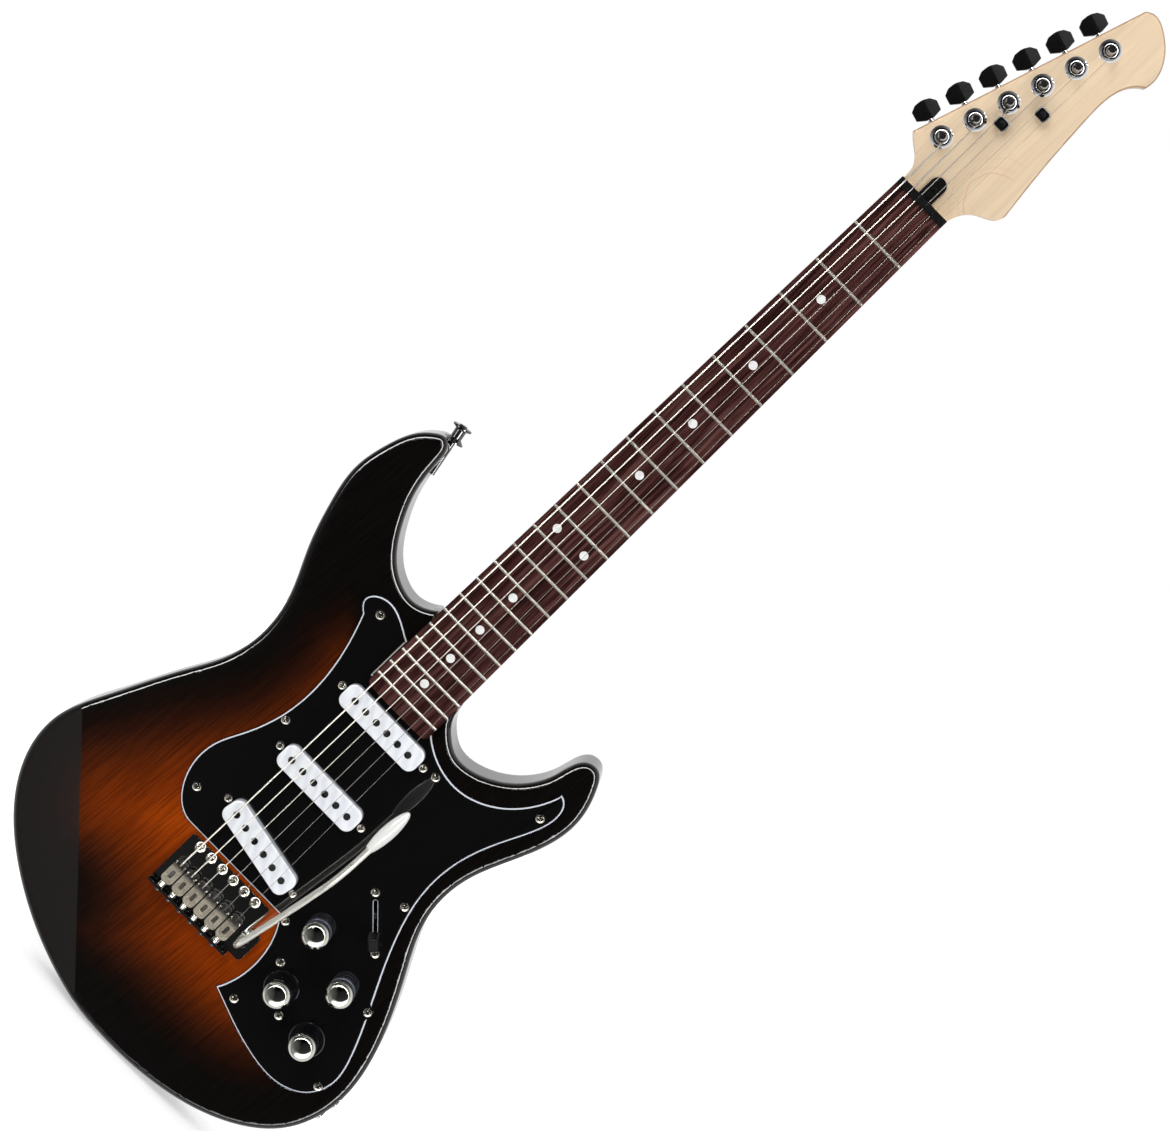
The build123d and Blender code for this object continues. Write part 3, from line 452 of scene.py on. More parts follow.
def makeCamera():
    data = bpy.data.cameras.new("mainCamera")
    camera = newObject("mainCamera", data)
    bpy.context.scene.camera = camera
    data.lens, data.sensor_width = cameraSetup["lens"], cameraSetup["sensor"]
    data.clip_start, data.clip_end = cameraSetup["clip"]
    axes = Matrix([cameraSetup["right"], cameraSetup["up"], cameraSetup["back"]]).transposed()
    camera.matrix_world = Matrix.Translation(cameraSetup["place"]) @ axes.to_4x4()


def makeLamps():
    for name, place, size, power in lampSetup["lamps"]:
        data = bpy.data.lights.new(name, "AREA")
        data.size, data.energy = size, power
        lamp = newObject(name, data)
        lamp.location = place
        lamp.rotation_euler = (Vector(lampSetup["aim"]) - Vector(place)).to_track_quat("-Z", "Y").to_euler()
        lamp.visible_glossy = False


def makeSurroundings():
    world = bpy.data.worlds.new("paleRoom")
    bpy.context.scene.world = world
    world.use_nodes = True
    world.node_tree.nodes.clear()
    sheet["tree"] = world.node_tree
    direction = addNode("TexCoord").outputs["Generated"]
    share = addRange(addDot(direction, (0, -1, 0)), -1.0, 1.0)
    alongRight = addDot(direction, cameraSetup["right"])
    alongUp = addDot(direction, cameraSetup["up"])
    around = addRange(addMath("ARCTAN2", alongUp, alongRight), -math.pi, math.pi)
    sideShare = addStrengths(around, surroundings["sides"], surroundings["sidesMost"])
    inFront = addRange(share, *surroundings["sidesCount"])
    sideShare = addNode("Mix", {"Factor": inFront, "A": 1.0, "B": sideShare}).outputs[0]
    mirrored = addMath("MULTIPLY", addRamp(share, surroundings["stops"]), sideShare)
    mirrored = addMath("MINIMUM", mirrored, 1.0)
    glowing = addDot(direction, surroundings["glowFrom"])
    glow = addRange(glowing, *surroundings["glowReach"], 0.0, surroundings["glow"])
    mirrored = addMath("ADD", mirrored, glow)
    for ring in surroundings["rings"]:
        middle = (ring["inner"] + ring["outer"]) / 2
        aside = addMath("ABSOLUTE", addMath("SUBTRACT", share, middle))
        within = addRange(aside, 0.0, ring["inner"] - middle, 1.0, 0.0, interpolation_type="SMOOTHSTEP")
        strong = addStrengths(around, ring["strengths"], surroundings["ringsMost"])
        mirrored = addMath("ADD", mirrored, addMath("MULTIPLY", within, strong))
    # diffuse surfaces get plain light, polished ones the mirrored room, and the camera sees white
    path = addNode("LightPath").outputs
    seen = addMath("MAXIMUM", path["Is Camera Ray"], path["Is Transmission Ray"])
    white = (1, 1, 1, 1)
    plain, room, backdrop = (
        addNode("Background", {"Color": white, "Strength": strength}).outputs[0]
        for strength in (surroundings["fill"], mirrored, 1.0)
    )
    lit = addNode("MixShader", {0: path["Is Glossy Ray"], 1: plain, 2: room}).outputs[0]
    shown = addNode("MixShader", {0: seen, 1: lit, 2: backdrop}).outputs[0]
    addNode("OutputWorld", {"Surface": shown})
    bpy.context.scene.view_settings.view_transform = "Standard"


makeCamera()
makeLamps()
makeSurroundings()
print("camera, lamps and surroundings made")


# ---- effects that several finishes share

grainSetup = {
    "bendScale": 9.0, "lineDetail": 5.0, "lineRoughness": 0.62, "figureDetail": 3.0, "poreDetail": 1.0,
    "figureShare": 0.16, "poreShare": 2.2,  # of the fineness of the lines
    "poreEdge": (0.60, 0.70),
}
handlingSetup = {"detail": 3.0, "smudge": (0.35, 0.7)}


def makeWoodGrain():
    # fine lines, wide figure and short pores, all drawn out along Z
    group, given, out = newGroup(
        "woodGrain",
        {"Vector": None, "Fineness": 900.0, "Drawn": 0.02, "Wobble": 0.002},
        ("Lines", "Figure", "Pores"),
    )
    bend = addNoise(given["Vector"], grainSetup["bendScale"])["Color"]
    centred = addVectorMath("SUBTRACT", bend, (0.5, 0.5, 0.5))
    moved = addVectorMath("ADD", given["Vector"], addScaled(centred, given["Wobble"]))
    stretch = addNode("CombineXYZ", {"X": 1.0, "Y": 1.0, "Z": given["Drawn"]}).outputs[0]
    drawn = addVectorMath("MULTIPLY", moved, stretch)
    fineness = given["Fineness"]
    lines = addNoise(drawn, fineness, grainSetup["lineDetail"], Roughness=grainSetup["lineRoughness"])["Fac"]
    wide = addMath("MULTIPLY", fineness, grainSetup["figureShare"])
    short = addMath("MULTIPLY", fineness, grainSetup["poreShare"])
    pores = addNoise(drawn, short, grainSetup["poreDetail"])["Fac"]
    link(lines, out["Lines"])
    link(addNoise(drawn, wide, grainSetup["figureDetail"])["Fac"], out["Figure"])
    link(addRange(pores, *grainSetup["poreEdge"]), out["Pores"])
    return group


def makeHandling():
    # soft smudges, which change how polished a surface is
    group, given, out = newGroup(
        "handlingMarks", {"Vector": None, "Size": 40.0, "Low": 0.05, "High": 0.12}, ("Roughness",)
    )
    smudge = addNoise(given["Vector"], given["Size"], handlingSetup["detail"])["Fac"]
    link(addRange(smudge, *handlingSetup["smudge"], given["Low"], given["High"]), out["Roughness"])
    return group


woodGrain = makeWoodGrain()
handling = makeHandling()


# ---- finishes

finishes = {}


def newFinish(name, values, turn=0):
    # a material whose pattern follows the piece, turned by some degrees about Y
    material = bpy.data.materials.new(name)
    material.use_nodes = True
    sheet["tree"] = material.node_tree
    shader = material.node_tree.nodes["Principled BSDF"]
    for socket, value in values.items():
        shader.inputs[socket].default_value = value
    place = addNode("TexCoord").outputs["Object"]
    spot = addNode("Mapping", {"Vector": place, "Rotation": (0, math.radians(turn), 0)})
    finishes[name] = material
    return shader, spot.outputs["Vector"]


def addHandling(shader, spot, size, low, high):
    marks = addGroup(handling, {"Vector": spot, "Size": size, "Low": low, "High": high})
    link(marks["Roughness"], shader.inputs["Roughness"])


def paint(shader, colour):
    link(colour, shader.inputs["Base Color"])


burstSetup = {
    "coat": {
        "Roughness": 0.5, "Specular IOR Level": 0.0, "Coat Weight": 1.0, "Coat Roughness": 0.015, "Coat IOR": 1.5,
    },
    "grainTurn": -4.0, "grain": {"Fineness": 1150.0, "Drawn": 0.022, "Wobble": 0.004},
    "lines": (0.36, 0.58, 0.60, 1.20), "figure": (0.3, 0.7, 0.92, 1.07),
    "reach": 120.0,  # millimetres from the edge that the colour ramp covers
    "stops": (  # millimetres from the edge, colour
        (0, (0.0030, 0.0024, 0.0022)), (13, (0.0032, 0.0024, 0.0020)), (24, (0.0075, 0.0026, 0.0014)),
        (34, (0.0200, 0.0048, 0.0018)), (45, (0.0480, 0.0085, 0.0014)), (57, (0.0980, 0.0150, 0.0011)),
        (72, (0.1550, 0.0215, 0.0011)), (88, (0.2250, 0.0320, 0.0012)), (112, (0.3000, 0.0440, 0.0015)),
    ),
    # the slope for the forearm lies past this spot, on this side of it
    "creaseSpot": (-0.145, 0.0, -0.632), "creaseSide": (-0.727, 0.0, -0.686),
    "creaseColour": (0.0085, 0.0058, 0.0050), "creaseCover": (-0.0003, 0.0008, 0.0, 0.6),
    # where each change of the distance begins and is full, and how many millimetres it is at either end
    "creaseShade": (-0.0005, 0.001, 0.0, 14.0), "hornShade": (-0.478, -0.425, 0.0, 28.0),
    "waistGlow": (-0.085, -0.125, 0.0, 9.0), "spray": (0.0, 1.0, -5.0, 5.0), "sprayScale": 14.0,
    "tailAcross": (-0.055, 0.015), "tailDown": (-0.645, -0.685), "tailShade": 14.0,
}


def makeBurst():
    shader, spot = newFinish("sunburstLacquer", burstSetup["coat"], burstSetup["grainTurn"])
    grain = addGroup(woodGrain, {"Vector": spot, **burstSetup["grain"]})
    place = addNode("TexCoord").outputs["Object"]
    beside = addVectorMath("SUBTRACT", place, burstSetup["creaseSpot"])
    past = addDot(beside, burstSetup["creaseSide"])
    lies = addSplit(place)
    tail = addMath(
        "MULTIPLY",
        addRange(lies["X"], *burstSetup["tailAcross"]), addRange(lies["Z"], *burstSetup["tailDown"]),
    )
    distance = addNode("Attribute", attribute_name="burst").outputs["Fac"]
    for operation, change in (
        ("SUBTRACT", addRange(past, *burstSetup["creaseShade"])),
        ("ADD", addRange(addNoise(spot, burstSetup["sprayScale"])["Fac"], *burstSetup["spray"])),
        ("SUBTRACT", addMath("MULTIPLY", tail, burstSetup["tailShade"])),
        ("SUBTRACT", addRange(lies["Z"], *burstSetup["hornShade"])),
        ("ADD", addRange(lies["X"], *burstSetup["waistGlow"])),
    ):
        distance = addMath(operation, distance, change)
    reach = burstSetup["reach"]
    factor = addMath("DIVIDE", distance, reach)
    colour = addRamp(factor, [(far / reach, shade) for far, shade in burstSetup["stops"]])
    lines = addRange(grain["Lines"], *burstSetup["lines"])
    figure = addRange(grain["Figure"], *burstSetup["figure"])
    grained = addScaled(colour, addMath("MULTIPLY", lines, figure))
    cover = addRange(past, *burstSetup["creaseCover"])
    paint(shader, addMix(cover, grained, burstSetup["creaseColour"]))


mapleSetup = {
    "satin": {"Roughness": 0.42, "Specular IOR Level": 0.4, "Coat Weight": 0.12, "Coat Roughness": 0.3},
    "grain": {"Fineness": 520.0, "Drawn": 0.03, "Wobble": 0.006},
    "lines": (0.32, 0.68), "figure": (0.35, 0.65, 0.92, 1.05), "bump": (0.04, 0.0002),
    "light": (0.672, 0.526, 0.368), "dark": (0.604, 0.462, 0.308),
    # growth rings round one spot of the head: radius, half width, strength
    "arcs": ((0.0198, 0.0006, 0.6), (0.0236, 0.0011, 0.12), (0.0290, 0.0011, 0.12)),
    "arcCentre": (0.033, 0.0, 0.037), "arcStretch": (1.0, 0.0, 1.0), "arcColour": (0.50, 0.25, 0.13),
    "arcWaver": (0.0, 1.0, -0.0055, 0.0055), "waverScale": 48.0, "arcMiddle": 0.0001,
    "arcEnd": (0.026, 0.034, 1.0, 0.0),
    # painted shade: the walls and eased edges of the head are mixed towards a darker brown, by how far they turn from
    # the face
    "paintedWallShade": (0.33, 0.17, 0.08), "wallShadeRamp": ((0.0, 0.25), (0.3, 0.35), (0.6, 0.8), (0.8, 0.8), (0.99, 0.0)),
    "headFrom": (0.0, 0.02),
}


def makeMaple():
    shader, spot = newFinish("satinMaple", mapleSetup["satin"])
    grain = addGroup(woodGrain, {"Vector": spot, **mapleSetup["grain"]})
    coordinates = addNode("TexCoord").outputs
    place = coordinates["Object"]
    lines = addRange(grain["Lines"], *mapleSetup["lines"])
    colour = addMix(lines, mapleSetup["dark"], mapleSetup["light"])
    beside = addVectorMath("SUBTRACT", place, mapleSetup["arcCentre"])
    flat = addVectorMath("MULTIPLY", beside, mapleSetup["arcStretch"])
    away = addNode("VectorMath", {0: flat}, operation="LENGTH").outputs["Value"]
    waver = addRange(addNoise(spot, mapleSetup["waverScale"])["Fac"], *mapleSetup["arcWaver"])
    away = addMath("ADD", away, waver)
    arcs = 0.0
    for radius, width, strength in mapleSetup["arcs"]:
        off = addMath("ABSOLUTE", addMath("SUBTRACT", away, radius))
        arcs = addMath("MAXIMUM", arcs, addRange(off, mapleSetup["arcMiddle"], width, strength, 0.0))
    lies = addSplit(place)
    arcs = addMath("MULTIPLY", arcs, addRange(lies["X"], *mapleSetup["arcEnd"]))
    colour = addMix(arcs, colour, mapleSetup["arcColour"])
    # painted shade: the head's walls and eased edges turn darker brown as they turn from the face
    facing = addMath("ABSOLUTE", addSplit(coordinates["Normal"])["Y"])
    wallShade = addRamp(facing, mapleSetup["wallShadeRamp"])
    wallShade = addMath("MULTIPLY", wallShade, addRange(lies["Z"], *mapleSetup["headFrom"]))
    colour = addMix(wallShade, colour, mapleSetup["paintedWallShade"])
    paint(shader, addScaled(colour, addRange(grain["Figure"], *mapleSetup["figure"])))
    addBump(shader, grain["Lines"], *mapleSetup["bump"])


rosewoodSetup = {
    "satin": {"Roughness": 0.5, "Specular IOR Level": 0.03},
    "grain": {"Fineness": 420.0, "Drawn": 0.022, "Wobble": 0.006},
    "stops": (
        (0.36, (0.010, 0.0030, 0.0026)), (0.45, (0.026, 0.0078, 0.0072)),
        (0.54, (0.056, 0.0200, 0.0185)), (0.66, (0.105, 0.046, 0.040)),
    ),
    "figure": (0.35, 0.65, 0.7, 1.2), "pores": (0.008, 0.003, 0.002), "bump": (0.25, -0.0001),
}


def makeRosewood():
    shader, spot = newFinish("rosewood", rosewoodSetup["satin"])
    grain = addGroup(woodGrain, {"Vector": spot, **rosewoodSetup["grain"]})
    colour = addRamp(grain["Lines"], rosewoodSetup["stops"])
    colour = addScaled(colour, addRange(grain["Figure"], *rosewoodSetup["figure"]))
    paint(shader, addMix(grain["Pores"], colour, rosewoodSetup["pores"]))
    addBump(shader, grain["Pores"], *rosewoodSetup["bump"])


guardFinishSetup = {
    "gloss": {"Coat Weight": 1.0, "Coat Roughness": 0.02, "Coat IOR": 1.5, "Specular IOR Level": 0.1},
    "depth": (-0.0023, 0.0),  # from the top of the guard to the body
    "plies": ((0.0, (0.0028, 0.0028, 0.0029)), (0.17, (0.72, 0.76, 0.84)), (0.53, (0.0028, 0.0028, 0.0029))),
    "marks": (18.0, 0.05, 0.09),
}


def makeGuardFinish():
    shader, spot = newFinish("threePlyGuard", guardFinishSetup["gloss"])
    layer = addRange(addSplit(spot)["Y"], *guardFinishSetup["depth"])
    paint(shader, addRamp(layer, guardFinishSetup["plies"], "CONSTANT"))
    addHandling(shader, spot, *guardFinishSetup["marks"])


pearlSetup = {
    "cover": {"Roughness": 0.22, "Coat Weight": 0.5, "Coat Roughness": 0.05}, "turn": 28,
    "sway": 0.012, "swayScale": 60.0, "dotScale": 260.0, "dotDistortion": 1.0,
    "bands": {"Scale": 42.0, "Distortion": 3.0, "Detail": 2.0, "Detail Scale": 1.5},
    "dim": (0.72, 0.745, 0.79), "bright": (0.82, 0.84, 0.875),
    "dot": {"Roughness": 0.25, "Coat Weight": 0.3}, "dotDim": (0.62, 0.62, 0.62), "dotBright": (0.92, 0.93, 0.92),
}


def makePearls():
    shader, spot = newFinish("pearlCover", pearlSetup["cover"], pearlSetup["turn"])
    sway = addScaled(addNoise(spot, pearlSetup["swayScale"])["Color"], pearlSetup["sway"])
    moved = addVectorMath("ADD", spot, sway)
    bands = addNode("TexWave", {"Vector": moved, **pearlSetup["bands"]}).outputs["Fac"]
    paint(shader, addMix(bands, pearlSetup["dim"], pearlSetup["bright"]))
    shader, spot = newFinish("dotPearl", pearlSetup["dot"])
    cloud = addNoise(spot, pearlSetup["dotScale"], Distortion=pearlSetup["dotDistortion"])["Fac"]
    paint(shader, addMix(cloud, pearlSetup["dotDim"], pearlSetup["dotBright"]))


nickelSetup = {
    "metal": {"Metallic": 0.45}, "marks": (80.0, 0.22, 0.34),
    "front": (-0.6580, -0.6545),  # Z where the saddles turn from tan to a painted dark reflection over their front
    "tan": (0.40, 0.36, 0.285), "dark": (0.045, 0.042, 0.038),
}


def makeWarmNickel():
    shader, spot = newFinish("warmNickel", nickelSetup["metal"])
    addHandling(shader, spot, *nickelSetup["marks"])
    # painted reflection: the front of each saddle is coloured dark
    paintedDarkFront = addRange(addSplit(spot)["Z"], *nickelSetup["front"])
    paint(shader, addMix(paintedDarkFront, nickelSetup["tan"], nickelSetup["dark"]))


stringSetup = {
    "metal": {"Metallic": 1.0, "Roughness": 0.30}, "winding": 1900.0, "cloudScale": 30.0,
    "bump": (0.05, 0.0001),
    "warm": (0.46, 0.435, 0.39), "bright": (0.58, 0.55, 0.49), "dull": (0.085, 0.080, 0.074),
    # painted shade: the plain strings and the lengths past the nut are mixed towards a near-black colour, so they look
    # duller
    "plain": (-0.008, 0.008, 0.0, 0.72), "pastNut": (0.0, 0.006, 0.0, 0.85),
}


def makeStringMetal():
    shader, spot = newFinish("stringMetal", stringSetup["metal"])
    inputs = {"Vector": spot, "Scale": stringSetup["winding"], "Distortion": 0.0}
    winding = addNode("TexWave", inputs, bands_direction="Z").outputs["Fac"]
    cloud = addNoise(spot, stringSetup["cloudScale"])["Fac"]
    metal = addMix(cloud, stringSetup["warm"], stringSetup["bright"])
    lies = addSplit(spot)
    # painted shade: darker across the plain strings and past the nut
    plain = addRange(lies["X"], *stringSetup["plain"])
    paintedDimming = addMath("MAXIMUM", plain, addRange(lies["Z"], *stringSetup["pastNut"]))
    paint(shader, addMix(paintedDimming, metal, stringSetup["dull"]))
    addBump(shader, winding, *stringSetup["bump"])


polishSetup = {  # colour, size of the handling marks, lowest and highest roughness, other values
    "chrome": ((0.80, 0.80, 0.82), 45, 0.05, 0.10, {"Metallic": 1.0}),
    "domeChrome": ((0.66, 0.66, 0.60), 45, 0.03, 0.07, {"Metallic": 1.0}),
    "plateChrome": ((0.34, 0.34, 0.33), 45, 0.03, 0.07, {"Metallic": 1.0}),
    "screwChrome": ((0.72, 0.69, 0.62), 45, 0.06, 0.12, {"Metallic": 1.0}),
    "brightSteel": ((0.80, 0.78, 0.74), 90, 0.14, 0.24, {"Metallic": 1.0}),
    "satinNickel": ((0.80, 0.79, 0.72), 60, 0.26, 0.36, {"Metallic": 0.85}),
    "darkNickel": ((0.13, 0.13, 0.13), 60, 0.16, 0.26, {"Metallic": 1.0}),
    "steel": ((0.62, 0.61, 0.60), 90, 0.18, 0.30, {"Metallic": 1.0}),
    "fretMetal": ((0.62, 0.60, 0.53), 90, 0.20, 0.30, {"Metallic": 0.65}),
    "poleMetal": ((0.10, 0.10, 0.10), 120, 0.24, 0.36, {"Metallic": 1.0}),
    "blackPlastic": ((0.0075, 0.0075, 0.008), 60, 0.20, 0.32, {"Specular IOR Level": 0.06}),
    "glossBlack": ((0.0045, 0.0045, 0.0055), 50, 0.05, 0.10, {"Coat Weight": 0.7}),
    "knurledBlack": ((0.085, 0.092, 0.118), 90, 0.30, 0.42, {"Metallic": 0.6}),
    "buttonPlastic": ((0.0060, 0.0060, 0.0062), 70, 0.24, 0.34, {"Specular IOR Level": 0.03}),
    "creamPlastic": ((0.76, 0.77, 0.74), 60, 0.18, 0.28, {"Coat Weight": 0.4}),
    "circuitBoard": ((0.01, 0.09, 0.03), 90, 0.3, 0.5, {}),
}
cloudSetup = {"finer": 2.3, "dimmed": 0.86, "creamPlastic": (0.70, 0.71, 0.68)}


def makePolished(name, colour, size, low, high, values):
    # metal or plastic whose colour and polish vary a little with handling
    shader, spot = newFinish(name, values)
    addHandling(shader, spot, size, low, high)
    other = cloudSetup.get(name) or tuple(c * cloudSetup["dimmed"] for c in colour)
    cloud = addNoise(spot, size * cloudSetup["finer"])["Fac"]
    paint(shader, addMix(cloud, colour, other))


makeBurst()
makeMaple()
makeRosewood()
makeGuardFinish()
makePearls()
makeWarmNickel()
makeStringMetal()
for name, row in polishSetup.items():
    makePolished(name, *row)
print("finishes mixed:", len(finishes))

nodeFinishes = {
    "sunburstLacquer": ["body"],
    "satinMaple": ["neck"],
    "rosewood": ["fingerboard"],
    "fretMetal": ["frets"],
    "dotPearl": ["position_dots"],
    "threePlyGuard": ["pickguard"],
    "pearlCover": ["pickup_covers"],
    "poleMetal": ["pole_pieces"],
    "warmNickel": ["saddles"],
    "satinNickel": ["tremolo_arm"],
    "creamPlastic": ["arm_tip"],
    "darkNickel": ["strap_buttons"],
    "stringMetal": ["strings"],
    "circuitBoard": ["control_board"],
    "knurledBlack": ["volume_knob", "tone_knob"],
    "glossBlack": ["model_knob", "tuning_knob", "knob_collars"],
    "buttonPlastic": [f"tuner_button_{number}" for number in range(1, 7)],
    "blackPlastic": [
        "nut", "truss_rod_cover", "string_trees", "pickup_coils", "pickup_tubes", "switch_tip", "back_cover",
    ],
    "steel": [
        "truss_rod", "headstock_screws", "control_pots", "selector_switch", "switch_lever", "saddle_screws",
        "intonation_springs", "tremolo_block", "tremolo_springs", "spring_claw", "claw_screws",
    ],
    "chrome": [
        "tuner_housings", "tuner_bushings", "neck_plate", "neck_bolts", "face_screws", "pickup_screws",
        "bridge_plate", "pivot_screws", "back_cover_screws", "jack_plate", "jack_socket",
    ] + [f"tuner_post_{number}" for number in range(1, 7)],
}
for finish, nodeNames in nodeFinishes.items():
    for nodeName in nodeNames:
        for materialSlot in nodes[nodeName].material_slots:
            materialSlot.material = finishes[finish]


# ---- body: the sunburst reads its distance from the outline

bodySetup = {
    "thickness": 0.044, "edgeRadius": 0.005, "grid": 0.006, "coarseGrid": 0.012,
    "sampling": 0.001, "creaseNormal": (-0.2174, -0.9542, -0.2051), "broad": 0.93,
}


def divideFaces(shell):
    # the rounded edges and side walls keep their even strips, only the broad faces are divided
    low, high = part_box("body")
    step = bodySetup["grid"]
    pick(shell, "FACE", lambda face: abs(face.normal.y) < bodySetup["broad"])
    bpy.ops.mesh.hide(unselected=False)
    for axis, normal in ((0, (1, 0, 0)), (2, (0, 0, 1))):
        for cut in range(1, int((high[axis] - low[axis]) / step)):
            at = [0, 0, 0]
            at[axis] = low[axis] + cut * step
            bpy.ops.mesh.select_all(action="SELECT")
            bpy.ops.mesh.bisect(plane_co=at, plane_no=normal, threshold=0.01 * mm)
    bpy.ops.mesh.reveal()
    leaveEdit()


def outlinePoints(mesh):
    # the outline is where the rounded edges meet the side wall, at the front and at the back
    rims = (bodySetup["edgeRadius"], bodySetup["thickness"] - bodySetup["edgeRadius"])
    onRim = [any(abs(v.co.y - y) < 0.02 * mm for y in rims) for v in mesh.vertices]
    points = []
    for edge in mesh.edges:
        a, b = edge.vertices
        if onRim[a] and onRim[b]:
            start, end = mesh.vertices[a].co, mesh.vertices[b].co
            steps = max(1, int((end - start).length / bodySetup["sampling"]))
            points += [start.lerp(end, i / steps) for i in range(steps + 1)]
    return points


def creaseKeys(mesh):
    # the edges between the flat face and the slope for the forearm
    slope, face = Vector(bodySetup["creaseNormal"]), Vector((0, -1, 0))
    sides = {}
    for polygon in mesh.polygons:
        onFace, onSlope = polygon.normal.dot(face) > 0.9999, polygon.normal.dot(slope) > 0.9995
        if onFace or onSlope:
            for key in polygon.edge_keys:
                sides.setdefault(key, set()).add(onFace)
    return {key for key, kinds in sides.items() if len(kinds) == 2}


def makeBody():
    shell = copyOfNode("body")
    divideFaces(shell)
    mesh = shell.data
    points = outlinePoints(mesh)
    outline = kdtree.KDTree(len(points))
    for index, point in enumerate(points):
        outline.insert((point.x, 0, point.z), index)
    outline.balance()
    distances = [outline.find((v.co.x, 0, v.co.z))[2] / mm for v in mesh.vertices]
    mesh.attributes.new("burst", "FLOAT", "POINT").data.foreach_set("value", distances)
    finishPiece(shell, "bodyShell", "sunburstLacquer", "guitar", "sunburst_lacquer", "body")
    crease = creaseKeys(mesh)
    pick(shell, "EDGE", lambda edge: edge.key in crease)
    bpy.ops.mesh.mark_sharp()
    leaveEdit()
    print("body shell:", len(mesh.polygons), "faces,", len(points), "outline points,", len(crease), "crease edges")


makeBody()


# ---- scratch guard with its bevelled outline

guardSetup = {
    "top": -0.0023, "bevel": 1.6, "slotBevel": 0.7, "slotReach": (0.012, 0.045),
    "topFall": -0.9, "wallFall": -0.5,  # how far forward the normals of its top and its walls point
}


def makeGuard():
    guard = copyOfNode("pickguard")
    dissolveFlats(guard, 0.5)
    mesh = guard.data
    users = normalsByEdge(mesh)

    def isBrink(edge):
        level = all(abs(mesh.vertices[v].co.y - guardSetup["top"]) < 0.03 * mm for v in edge.vertices)
        falls = [normal.y for normal in users[edge.key]]
        return level and min(falls) < guardSetup["topFall"] and max(falls) > guardSetup["wallFall"]

    def reach(loop):
        xs = [mesh.vertices[mesh.edges[i].vertices[0]].co.x for i in loop]
        return max(xs) - min(xs)

    loops = sorted(loopsOf([edge for edge in mesh.edges if isBrink(edge)]), key=reach)
    outline = set(loops[-1])
    low, high = guardSetup["slotReach"]
    slot = [mesh.edges[i] for loop in loops if low < reach(loop) < high for i in loop]
    spots = {spotKey(mesh.vertices[v]) for edge in slot for v in edge.vertices}
    pick(guard, "EDGE", lambda edge: edge.index in outline)
    bevelPicked(guardSetup["bevel"], 1)
    onSlot = [spotKey(v) in spots for v in guard.data.vertices]
    pick(guard, "EDGE", lambda edge: all(onSlot[v] for v in edge.vertices))
    bevelPicked(guardSetup["slotBevel"], 1)
    finishPiece(guard, "scratchGuard", "threePlyGuard", "guitar", "guard_laminate", "pickguard", smoothAngle=20)
    print("guard:", len(outline), "outline edges bevelled")


makeGuard()


# ---- neck: the sharp edges of its head are eased

neckSetup = {"headFrom": 0.004, "headFace": 0.0016, "ease": 1.5, "sharp": 0.5, "faceFall": -0.95}


def makeNeck():
    neck = copyOfNode("neck")
    dissolveFlats(neck, 0.3)
    mesh = neck.data
    users = normalsByEdge(mesh)
    face = max(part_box("neck")[0][1], neckSetup["headFace"])

    def isRim(edge):
        ends = [mesh.vertices[v].co for v in edge.vertices]
        normals = users.get(edge.key, [])
        if len(normals) != 2 or normals[0].dot(normals[1]) > neckSetup["sharp"]:
            return False
        onHead = all(end.z >= neckSetup["headFrom"] and abs(end.y - face) < 0.3 * mm for end in ends)
        return onHead and min(normal.y for normal in normals) < neckSetup["faceFall"]

    rims = [edge for edge in mesh.edges if isRim(edge)]
    longest = set(max(loopsOf(rims), key=len))
    pick(neck, "EDGE", lambda edge: edge.index in longest)
    bevelPicked(neckSetup["ease"], 3)
    finishPiece(neck, "neckShaped", "satinMaple", "guitar", "maple", "neck", smoothAngle=40, weighted=True)
    print("neck:", len(rims), "head edges,", len(longest), "eased")


makeNeck()


# ---- frets with rounded crowns

fretSetup = {"crown": (0.16, 1, 45)}


def makeFrets():
    frets = copyOfNode("frets")
    dissolveFlats(frets, 1)
    easeEdges(frets, *fretSetup["crown"])
    finishPiece(frets, "fretsCrowned", "fretMetal", "guitar", "fret_wire", "frets", smoothAngle=20)
    print("frets crowned")


makeFrets()


# ---- cross-head screws, each kind modelled once

screwSetup = {
    "sides": 28, "recess": 0.62, "recessWidth": 0.24, "recessTaper": 0.55, "recessDepth": 0.6,
    # the head's outline, as shares of its radius and height
    "head": ((0.96, 0), (1, 0.22), (0.93, 0.55), (0.75, 0.82), (0.5, 0.96), (0.25, 1)),
    "firstTurn": 17, "nextTurn": 41,
}
headSplit = 0  # headstock screws with their head in front of this Y hold the face, the others the back
screwSets = (  # piece, node, finish, slot, head radius, head height, shank radius, side
    ("guardScrews", "face_screws", "screwChrome", "chrome", 3.2, 1.5, 1.3, "front"),
    ("pickupScrews", "pickup_screws", "screwChrome", "chrome", 2.8, 1.5, 1.3, "front"),
    ("headstockFrontScrews", "headstock_screws", "blackPlastic", "black_plastic", 2.0, 0.9, 1.0, "front"),
    ("headstockBackScrews", "headstock_screws", "chrome", "steel", 2.0, 0.9, 1.0, "back"),
    ("coverScrews", "back_cover_screws", "chrome", "chrome", 3.2, 1.4, 1.4, "back"),
    ("neckBolts", "neck_bolts", "chrome", "chrome", 4.4, 2.4, 2.2, "back"),
    ("pivotScrews", "pivot_screws", "screwChrome", "chrome", 3.5, 2.2, 1.7, "front"),
)


